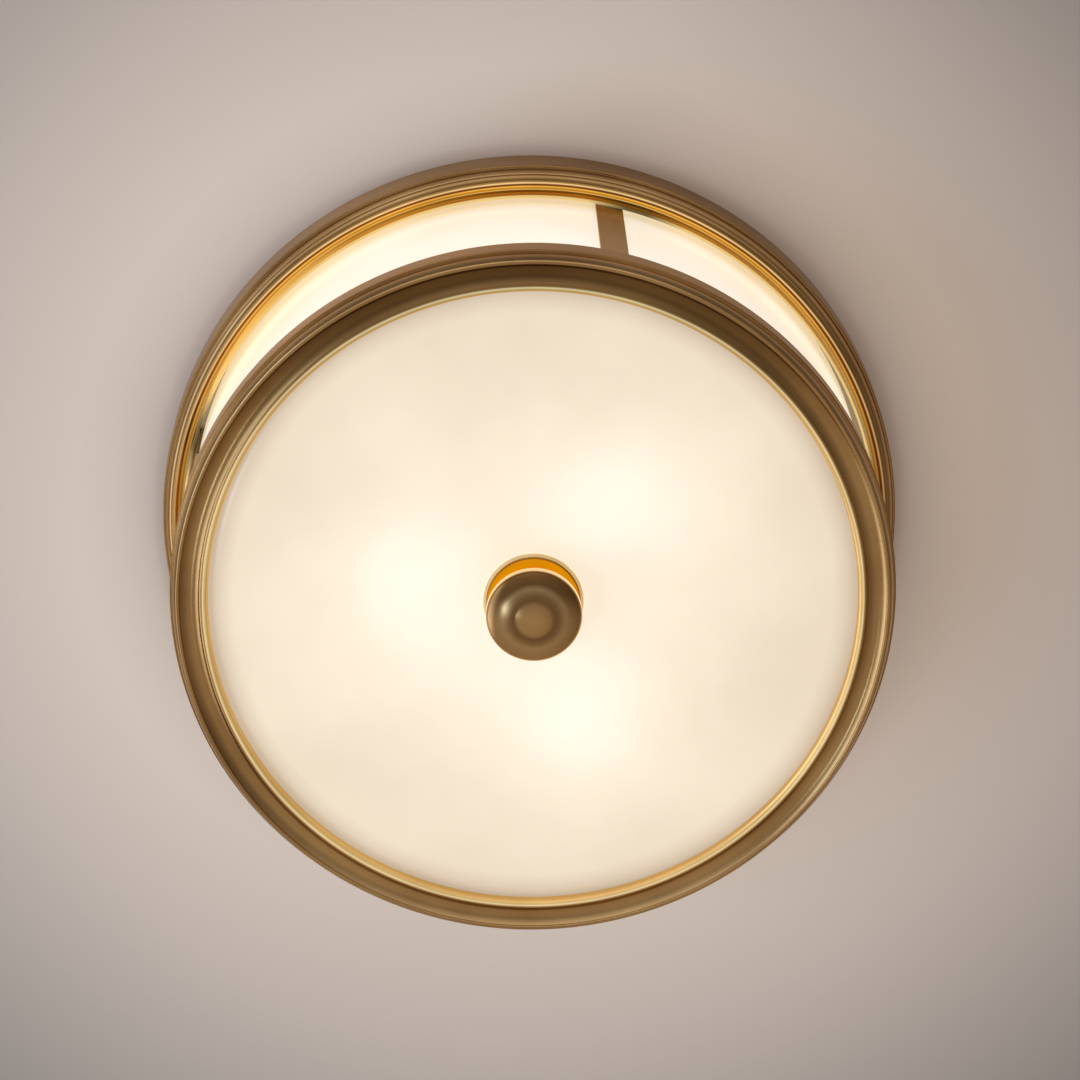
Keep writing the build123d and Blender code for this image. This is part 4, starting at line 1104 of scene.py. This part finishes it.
cushion = turned("finial_nylon_washer", [
    (3.625, -155.45), (3.7, -155.5), (27.9, -155.5), (28.1, -155.3), (28.1, -154.7), (27.9, -154.52),
    (3.7, -154.52), (3.625, -154.6)], steps=128)
nylon_cloud = (80.0, 4.0)
nylon = clouded("clear_nylon", nylon_cloud, [(0.3, (0.58, 0.46, 0.28)), (0.7, (0.68, 0.56, 0.36))],
                (0.30, 0.45), (500.0, 3.0), 0.10, 0.0003)
shader, place = reopened(nylon)
# Painted glow of the glass's light through the nylon.
through = tint(mottle(place, *nylon_cloud), [(0.3, (0.44, 0.32, 0.14)), (0.7, (0.52, 0.38, 0.18))])
feed(shader, {"Emission Color": through, "Emission Strength": 0.8})
cushion.data.materials.append(nylon)
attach(cushion, "finial_seat")
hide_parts("nylon_washer")


# Finial: a round plate with a rolled edge, a waisted collar and a turned mushroom knob with a low
# boss. All aged brass, turned on a lathe. The knob is tapped for the centre rod. The plate and collar get
# darker, redder brass as painted shade and warm reflection, the collar a painted amber glow from the lit
# glass, and the knob painted rings of reflection and shade on its dome, painted shade on its near side
# and a painted cream line of glass light round its rim.
# Darker, redder brass for the plate: painted shade and warm reflection between the glass and the knob.
finial_brass = aged_brass("aged_brass_finial", lathe_lines, (0.26, 0.12, 0.02), (0.36, 0.19, 0.05))
shader, place = reopened(finial_brass)
feed(shader, {"Coat Weight": 0.0, "Specular Tint": (0.6, 0.25, 0.05, 1.0)})
plate = turned("finial_plate_turned", (
    [(3.625, -155.5), (25.6, -155.5)]
    + bend((25.6, -155.5), (26.4, -156.3), (25.6, -157.1), 8)[1:]
    + [(3.625, -157.1)]), steps=128)
plate.data.materials.append(finial_brass)
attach(plate, "finial_seat")
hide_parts("finial_plate")

collar = turned("finial_collar_turned", (
    [(24.5, -157.1), (25.9, -157.1), (25.9, -157.9)]
    + bend((25.9, -157.9), (24.4, -164.6), (25.9, -171.3), 14)[1:]
    + [(25.9, -172.1), (24.5, -172.1), (24.5, -171.3)]
    + bend((24.5, -171.3), (23.0, -164.6), (24.5, -157.9), 14)[1:]), steps=128)
# Darker, redder brass for the collar as painted shade, with a painted amber glow reflecting the lit glass.
collar_brass = aged_brass("aged_brass_collar", lathe_lines, (0.26, 0.10, 0.008), (0.34, 0.14, 0.015))
shader, place = reopened(collar_brass)
painted_amber_glow = tint(by_axis(place, "Z", -172.1, -157.1), [
    (0.0, (0.16, 0.05, 0.0)), (0.25, (0.52, 0.21, 0.0)), (0.6, (0.50, 0.19, 0.0)),
    (0.93, (0.46, 0.17, 0.0)), (1.0, (0.10, 0.02, 0.0))])
painted_glow_patch = between(mottle(place, 60.0), 0.3, 0.7, 0.75, 1.0)
feed(shader, {"Coat Weight": 0.0, "Specular Tint": (1.0, 0.62, 0.20, 1.0),
              "Emission Color": times(painted_amber_glow, painted_glow_patch), "Emission Strength": 1.0})
collar.data.materials.append(collar_brass)
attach(collar, "finial_seat")
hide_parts("finial_collar")

knob = turned("finial_knob_turned", (
    [(3.235, -158.6), (7.5, -158.6), (7.5, -172.4), (25.8, -172.4), (26.0, -172.6), (26.0, -173.3)]
    + bend((26.0, -173.3), (26.5, -173.5), (26.7, -174.0), 4)[1:]
    + [(26.7, -176.0), (26.7, -178.5), (26.57, -179.25), (26.16, -180.0), (25.5, -180.73), (24.57, -181.43)]
    + [(23.4, -182.11), (22.0, -182.75), (20.37, -183.35), (18.54, -183.9), (16.52, -184.39)]
    + [(14.33, -184.83), (12.0, -185.2), (11.8, -185.2), (11.4, -185.15)]
    + bend((11.4, -185.16), (6.0, -186.12), (1.2, -186.485), 10)[1:]
    + [(0.0, -186.5), (0.0, -171.6), (3.235, -171.6)]), steps=128)
knob_brass = aged_brass("aged_brass_knob", lathe_lines, (0.42, 0.275, 0.135), (0.53, 0.365, 0.19))
# Painted rings of reflection and shade on the dome: brighter on the boss and the outer slope, darker in the
# crease round the boss.
painted_bands_by_reach(knob_brass, 0.0, 28.0, [
    (2.0, (1.20, 1.16, 1.06)), (9.0, (1.05, 1.0, 0.92)), (11.6, (0.50, 0.44, 0.36)),
    (14.0, (0.66, 0.62, 0.56)), (17.5, (1.10, 1.14, 1.20)), (21.0, (1.0, 1.0, 1.0)),
    (26.0, (0.95, 0.88, 0.80))])
# Painted shade on the near side of the dome.
painted_shade_near_side(knob_brass, 2.0, -24.0, 20.5, 18.0, [
    (0.0, (0.36, 0.28, 0.18)), (0.45, (0.62, 0.54, 0.44)), (1.0, (1.0, 1.0, 1.0))])
shader, place = reopened(knob_brass)
# Painted reflection of the lit glass: a cream line round the knob's rim.
edge_light = tint(by_axis(place, "Z", -180.0, -172.5), [
    (0.0, (0.0, 0.0, 0.0)), (0.10, (0.05, 0.02, 0.0)), (0.24, (0.70, 0.50, 0.24)),
    (0.76, (0.74, 0.54, 0.26)), (0.86, (0.08, 0.03, 0.0)), (1.0, (0.0, 0.0, 0.0))])
rim_only = by_reach(place, 26.0, 26.5)
feed(shader, {"Emission Color": times(edge_light, rim_only), "Emission Strength": 1.0})
knob.data.materials.append(knob_brass)
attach(knob, "finial")
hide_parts("finial_knob")
